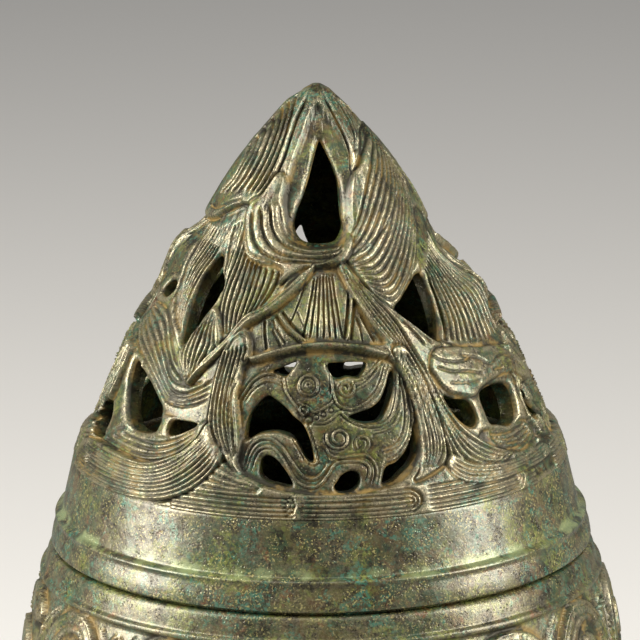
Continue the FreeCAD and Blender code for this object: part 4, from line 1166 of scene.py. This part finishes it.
def roundedOutline(points):
    """An outline through (radius, height) points. A third number is the corner's rounding in mm."""
    line = []
    count = len(points)
    for k, (r, z, *rounding) in enumerate(points):
        here = np.array((r, z), float)
        if not rounding:
            line.append(here)
            continue
        before = np.array(points[k - 1][:2], float) - here
        after = np.array(points[(k + 1) % count][:2], float) - here
        reach = min(rounding[0], 0.48 * np.hypot(*before), 0.48 * np.hypot(*after))
        start = here + before / np.hypot(*before) * reach
        end = here + after / np.hypot(*after) * reach
        for t in np.linspace(0, 1, 5):
            line.append(start * (1 - t) ** 2 + 2 * here * t * (1 - t) + end * t ** 2)
    return np.array(line)


def unevenSkin(seed, size):
    """Slight waviness of an old casting, the same on every ring so that seams stay closed."""
    def carve(line, out, degrees):
        angle, height = np.meshgrid(degrees, line[:, 1])
        depth = waves(angle, height, seed, (size, size * 0.6, size * 0.3), (9, 14))
        none = np.zeros_like(depth)
        ring = np.clip(np.abs(out[:, :1]), 0, 1) + none
        return depth, {"cut": none, "crest": ring * 0.7, "mouth": none}
    return carve


collar = {"seatZ": 140.0, "ledgeZ": 147.5, "topZ": 160.6, "rimR": 60.0, "innerR": 56.6}


def buildCollar():
    c = collar
    outline = roundedOutline([
        (c["innerR"], c["seatZ"], 0.3), (c["rimR"] - 1.5, c["seatZ"], 0.3),
        (c["rimR"] - 1.2, c["seatZ"] + 0.6, 0.3), (c["rimR"] - 0.05, c["seatZ"] + 0.9, 0.5),
        (c["rimR"] - 0.5, c["seatZ"] + 3.4), (c["rimR"] - 1.35, c["ledgeZ"] - 1.4),
        (c["rimR"] - 1.1, c["ledgeZ"] - 0.6, 0.4), (c["rimR"] - 1.5, c["ledgeZ"] - 0.1, 0.4),
        (c["rimR"] - 2.75, c["ledgeZ"] + 0.35, 0.4), (c["rimR"] - 3.2, c["ledgeZ"] + 2.0), (55.8, 153.6),
        (54.75, 158.2), (54.5, 159.3, 0.3), (53.4, c["topZ"], 0.3), (52.0, c["topZ"]), (50.8, 157.0),
        (51.6, 153.0), (c["innerR"] - 2.8, 150.6, 1.2), (c["innerR"], 147.8, 0.8)])
    turnPiece("lid_collar", outline, unevenSkin(21, 0.16), collarBronze, "lid", "lid", 860,
              0.55)


bowl = {"reliefTop": 134.0, "reliefLow": 101.6, "masks": (15.5, 135.5, 255.5), "ground": -0.35}


def arcThrough(a, b, c, count=14):
    """Points on the arc from a through b to c."""
    (ax, ay), (bx, by), (cx, cy) = a, b, c
    d = 2 * (ax * (by - cy) + bx * (cy - ay) + cx * (ay - by))
    p, q, r = ax * ax + ay * ay, bx * bx + by * by, cx * cx + cy * cy
    ux = (p * (by - cy) + q * (cy - ay) + r * (ay - by)) / d
    uy = (p * (cx - bx) + q * (ax - cx) + r * (bx - ax)) / d
    turns = np.unwrap([math.atan2(y - uy, x - ux) for x, y in (a, b, c)])
    size = math.hypot(ax - ux, ay - uy)
    return [(ux + size * math.cos(t), uy + size * math.sin(t))
            for t in np.linspace(turns[0], turns[2], count)]


bowlOutside = ([(16.0, 62.5, 0.4)] + arcThrough((16.6, 63.7), (48.6, 75.7), (66.1, 98.0))
               + [(67.0, 98.8, 0.4), (67.1, 100.2, 0.4), (66.3, 101.2, 0.3)]
               + arcThrough((66.3, 101.6), (65.9, 118.0), (62.0, 133.2), 12)
               + [(62.4, 133.9, 0.4), (62.3, 134.8, 0.4), (61.3, 135.5, 0.3), (60.7, 138.0),
                  (60.1, 139.4, 0.5), (59.4, 140.0, 0.3)])
bowlInside = ([(56.2, 140.0, 0.2), (56.2, 146.2, 0.5), (55.4, 146.6, 0.5), (54.0, 146.6, 0.5),
               (53.6, 146.0, 0.5), (53.6, 138.0, 0.8), (57.0, 133.0), (59.6, 128.0), (61.8, 116.0)]
              + arcThrough((62.9, 104.0), (46.4, 78.4), (16.0, 66.3)) + [(7.1, 66.3), (7.1, 62.5)])


# One half of a mask on the bowl: nose, jaw, leaf and the lobe with the eye, as (degrees from the nose, height)
maskForms = [
    {"outline": [(5.4, 103.2), (6.0, 111.0), (9.0, 118.0), (14.6, 122.8), (21.4, 122.8), (26.8, 118.4),
                 (29.8, 112.0), (30.6, 104.6), (18.0, 102.6)],
     "level": 0.8, "edge": 0.3, "rim": 0.4, "insets": [(1.3, 0.45, 0.5)],
     "cuts": [(ringLine(18.0, 113.0, 5.2, 1.15, turns=-1.9, start=2.6, grow=0.82, count=34), 0.6, 0.55)]},
    {"outline": [(18.4, 131.2), (23.6, 132.6), (29.6, 131.2), (32.6, 127.4), (27.6, 125.6), (22.4, 127.6)],
     "level": 0.8, "edge": 0.3, "rim": 0.4, "insets": [(1.2, 0.4, 0.45)],
     "cuts": [([(23.6, 130.6), (27.4, 129.8), (30.4, 127.8)], 0.4, 0.4)]},
    {"outline": [(33.4, 104.0), (33.6, 112.0), (35.0, 120.0), (38.0, 127.2), (42.6, 132.0), (47.6, 133.2),
                 (52.6, 131.2), (56.2, 125.4), (58.0, 117.0), (57.8, 109.0), (56.4, 103.4), (45.0, 102.6)],
     "level": 0.8, "edge": 0.3, "rim": 0.45, "insets": [(1.3, 0.45, 0.55), (3.2, 0.5, 0.55)],
     "cuts": [([(40.0, 105.0), (39.6, 110.0), (42.4, 114.4), (47.6, 115.0), (51.0, 111.6), (50.4, 107.4),
                (46.8, 106.4), (44.8, 108.8), (46.4, 111.2)], 0.6, 0.55)]},
    {"outline": [(40.6, 117.6), (41.4, 122.6), (44.4, 127.0), (48.0, 128.6), (51.6, 126.6), (53.4, 121.8),
                 (53.0, 117.6), (47.0, 116.2)],
     "level": 0.2, "edge": 0.35, "rim": 0.3, "insets": [(1.0, 0.35, 0.4)]},
    {"outline": [(44.2, 118.6), (44.4, 122.0), (46.2, 125.4), (49.0, 125.6), (50.8, 122.4), (50.6, 118.8),
                 (47.4, 117.6)],
     "level": 0.9, "edge": 0.35, "rim": 0.35, "cuts": [([(47.6, 119.4), (47.6, 124.6)], 0.5, 0.6)]},
]
maskNose = {"outline": [(-2.8, 103.0), (-2.4, 113.0), (-4.6, 122.6), (-3.0, 127.4), (0.0, 129.6),
                        (3.0, 127.4), (4.6, 122.6), (2.4, 113.0), (2.8, 103.0), (0.0, 102.4)],
            "level": 0.8, "edge": 0.3, "rim": 0.4, "insets": [(1.0, 0.4, 0.45)],
            "cuts": [([(-1.2, z + 1.6), (0.0, z), (1.2, z + 1.6)], 0.4, 0.4)
                     for z in (106.0, 109.0, 112.0, 121.0, 124.0)]}
threads = [
    [(6.0, 125.0), (11.0, 127.4), (15.6, 126.8), (18.4, 124.8)],
    [(4.6, 128.2), (10.0, 130.6), (15.6, 130.4), (19.6, 128.4)],
    [(31.4, 124.0), (33.6, 127.6), (36.4, 130.6), (39.0, 132.4)],
    [(31.6, 106.0), (31.8, 113.0), (33.0, 120.0)], [(59.0, 104.0), (59.6, 112.0), (59.0, 120.0),
                                                    (57.6, 127.0), (60.0, 131.6)],
                                                    [(54.6, 131.8), (57.2, 129.0), (60.0, 128.0)],
]


def carveBowl(line, out, degrees):
    """Three beast masks on the outside of the bowl between its two bead lines."""
    angle, height = np.meshgrid(degrees, line[:, 1])
    outside = (out[:, 0] > 0.2) & (line[:, 0] > 61.0)
    rows = np.nonzero(outside & (line[:, 1] > bowl["reliefLow"]) & (line[:, 1] < bowl["reliefTop"]))[0]
    depth = waves(angle, height, 31, (0.16, 0.1, 0.05), (9, 14)) * step((140.0 - height) / 3.0)
    profile = line[rows][np.argsort(line[rows][:, 1])]
    carving = Carving(profile, angle[rows].ravel(), height[rows].ravel())
    carving.depth[:] = bowl["ground"]
    for middle in bowl["masks"]:
        for way in (1, -1):
            for thread in threads:
                carving.stroke(carving.depth, [(middle + way * a, z) for a, z in thread], 0.55, 0.42,
                               kind="bead")
            for form in maskForms:
                carving.layer(**turnedTo(form, middle, way))
        carving.layer(**turnedTo(maskNose, middle))
    carving.depth += waves(carving.angle, carving.height, 33, (0.06, 0.04), (90, 60))
    raised = carving.depth.reshape(len(rows), -1)
    fade = step(np.minimum(line[rows, 1] - bowl["reliefLow"], bowl["reliefTop"] - line[rows, 1]) / 0.8)[:,
                                                                                                        None]
    depth[rows] += raised * fade
    grade = np.zeros_like(depth)
    grade[rows] = (raised - ringBlur(raised, max(1, int(3 * fine)))) * fade
    none = np.zeros_like(depth)
    side = np.clip(np.abs(out[:, :1]), 0, 1) * (line[:, :1] > 59) + none
    cut = np.clip(-grade / 0.2, 0, 1)
    crest = np.clip(0.35 * side + grade / 0.2, 0, 1)
    return depth, {"cut": cut, "crest": crest, "mouth": none}


def buildBowl():
    outline = roundedOutline(bowlOutside + bowlInside)
    zone = (61.0, bowl["reliefLow"], bowl["reliefTop"], 3.4)
    turnPiece("bowl_shell", outline, carveBowl, bowlBronze, "stand", "bowl", 960, 0.42, zone,
              3)


stem = {"low": 24.0, "top": 62.5}


def buildStem():
    low, top = stem["low"], stem["top"]
    outline = roundedOutline([
        (3.3, low - 3.5), (7.0, low - 3.5), (7.0, low), (12.6, low, 0.3), (12.8, low + 1.2, 0.4),
        (11.0, low + 2.4, 0.6), (9.8, low + 4.4), (9.0, low + 6.8), (8.7, low + 9.0, 0.3),
        (10.1, low + 9.5, 0.4), (10.1, low + 10.9, 0.4), (9.3, low + 11.4, 0.3), (11.4, low + 12.4),
        (13.6, low + 14.2), (14.8, low + 16.2), (15.1, low + 18.0), (14.8, low + 19.8), (13.6, low + 21.8),
        (11.4, low + 23.6), (9.3, low + 24.6, 0.3), (10.1, low + 25.1, 0.4), (10.1, low + 26.5, 0.4),
        (8.7, low + 27.0, 0.3), (8.9, low + 29.4), (9.6, low + 32.0), (11.2, low + 34.4), (13.4, low + 36.0),
        (15.0, top - 1.9, 0.4), (15.1, top, 0.3), (7.0, top), (7.0, top + 3.8), (3.3, top + 3.8)])

    def carve(line, out, degrees):
        angle, height = np.meshgrid(degrees, line[:, 1])
        depth = waves(angle, height, 41, (0.10, 0.06), (18, 50))
        knop = step((6.2 - np.abs(height - (low + 18.0))) / 1.4) * (line[:, :1] > 9)
        flute = np.abs(np.mod(angle * 16 / 360, 1) - 0.5) * 2
        depth = depth - 0.7 * knop * (1 - np.sin(np.clip(flute / 0.42, 0, 1) * math.pi / 2))
        cut = np.clip(knop * (1 - flute / 0.3), 0, 1)
        crest = np.clip(0.5 + 0.5 * knop * flute, 0, 1) + 0 * depth
        return depth, {"cut": cut, "crest": crest, "mouth": 0 * depth}

    turnPiece("stem_casting", outline, carve, standBronze, "stand", "stem", 360, 0.52)


foot = {"r": 48.5, "crown": 24.0, "clouds": 6}


def buildFoot():
    r, crown = foot["r"], foot["crown"]
    outline = roundedOutline([
        (r - 3.6, 0.0, 0.3), (r - 0.4, 0.0, 0.4), (r - 0.1, 2.0), (r - 0.3, 4.6, 0.5), (r - 1.2, 5.4, 0.4),
        (r - 3.2, 5.8, 0.4), (41.6, 9.6), (37.6, 13.4), (33.0, 16.6), (27.4, 19.2), (21.8, 20.8),
        (16.4, 21.5, 0.4), (15.6, 23.0, 0.4), (14.6, crown, 0.4), (7.05, crown), (7.05, 20.5), (13.4, 20.5),
        (20.0, 18.9), (26.0, 16.7), (31.4, 13.6), (36.6, 9.6), (42.5, 3.4), (44.5, 2.6, 0.4), (44.9, 1.2)])

    def carve(line, out, degrees):
        angle, height = np.meshgrid(degrees, line[:, 1])
        depth = waves(angle, height, 51, (0.12, 0.08), (12, 40)) * step(height / 2.0)
        rows = np.nonzero((out[:, 1] > 0.3) & (line[:, 0] < r - 3.4) & (line[:, 0] > 16.8)
                          & (line[:, 1] > 5.7))[0]
        profile = line[rows][np.argsort(line[rows][:, 1])]
        carving = Carving(profile, angle[rows].ravel(), height[rows].ravel())
        for unit in range(foot["clouds"]):
            a = unit * 360 / foot["clouds"]
            cloud = [(a - 24, 8.4), (a - 14, 11.6), (a - 18, 16.0), (a - 6, 15.0), (a, 19.2), (a + 6, 15.0),
                     (a + 18, 16.0), (a + 14, 11.6), (a + 24, 8.4), (a + 10, 7.6), (a, 10.0), (a - 10, 7.6)]
            carving.layer(outline=cloud, level=0.55, edge=0.45, rim=0.2)
            for side in (-1, 1):
                carving.stroke(carving.depth, [(a + side * 20, 8.8), (a + side * 11, 11.0),
                                               (a + side * 13.6, 14.4), (a + side * 6, 13.4), (a, 17.4)], 0.6,
                                               0.3, kind="bead")
        relief = carving.depth.reshape(len(rows), -1)
        depth[rows] += relief
        grade = np.zeros_like(depth)
        grade[rows] = relief - ringBlur(relief, 3)
        side = np.clip(np.abs(out[:, :1]), 0, 1) + 0 * depth
        return depth, {"cut": np.clip(-grade / 0.2, 0, 1), "crest": np.clip(0.4 * side + grade / 0.2, 0, 1),
                       "mouth": 0 * depth}

    turnPiece("foot_casting", outline, carve, standBronze, "stand", "foot", 500, 0.57)


fastening = {"low": 18.7, "top": 68.1, "headR": 6.2, "headH": 3.0, "rivetR": 3.2, "washerR": 9.5,
             "washerT": 1.8}


def buildFastening():
    f = fastening
    low, top, r, h = f["low"], f["top"], f["headR"], f["headH"]
    dome = [(r * math.sin(t), h * math.cos(t)) for t in np.linspace(0.02, math.pi / 2, 9)]
    outline = [(a, low - b) for a, b in dome] + [(f["rivetR"], low), (f["rivetR"], top)]
    outline += [(a, top + b) for a, b in reversed(dome)]

    def hammered(line, out, degrees):
        angle, height = np.meshgrid(degrees, line[:, 1])
        near = np.clip(line[:, :1] / 1.5, 0, 1)
        depth = waves(angle, height * 3, 61, (0.14, 0.10), (7, 30)) * near
        return np.minimum(depth, 0.0), {}

    turnPiece("rivet_iron", np.array(outline), hammered, iron, "stand", "tie_rivet", 96, 0.5)
    for name, node, base in (("upper_washer_iron", "upper_washer", top - f["washerT"]),
                             ("lower_washer_iron", "lower_washer", low)):
        z = base + f["washerT"]
        outline = roundedOutline([(3.3, base), (f["washerR"], base, 0.5), (f["washerR"], z, 0.5), (3.3, z)])
        turnPiece(name, outline, unevenSkin(71, 0.05), iron, "stand", node, 120, 0.4)


buildCollar()
buildBowl()
buildStem()
buildFoot()
buildFastening()
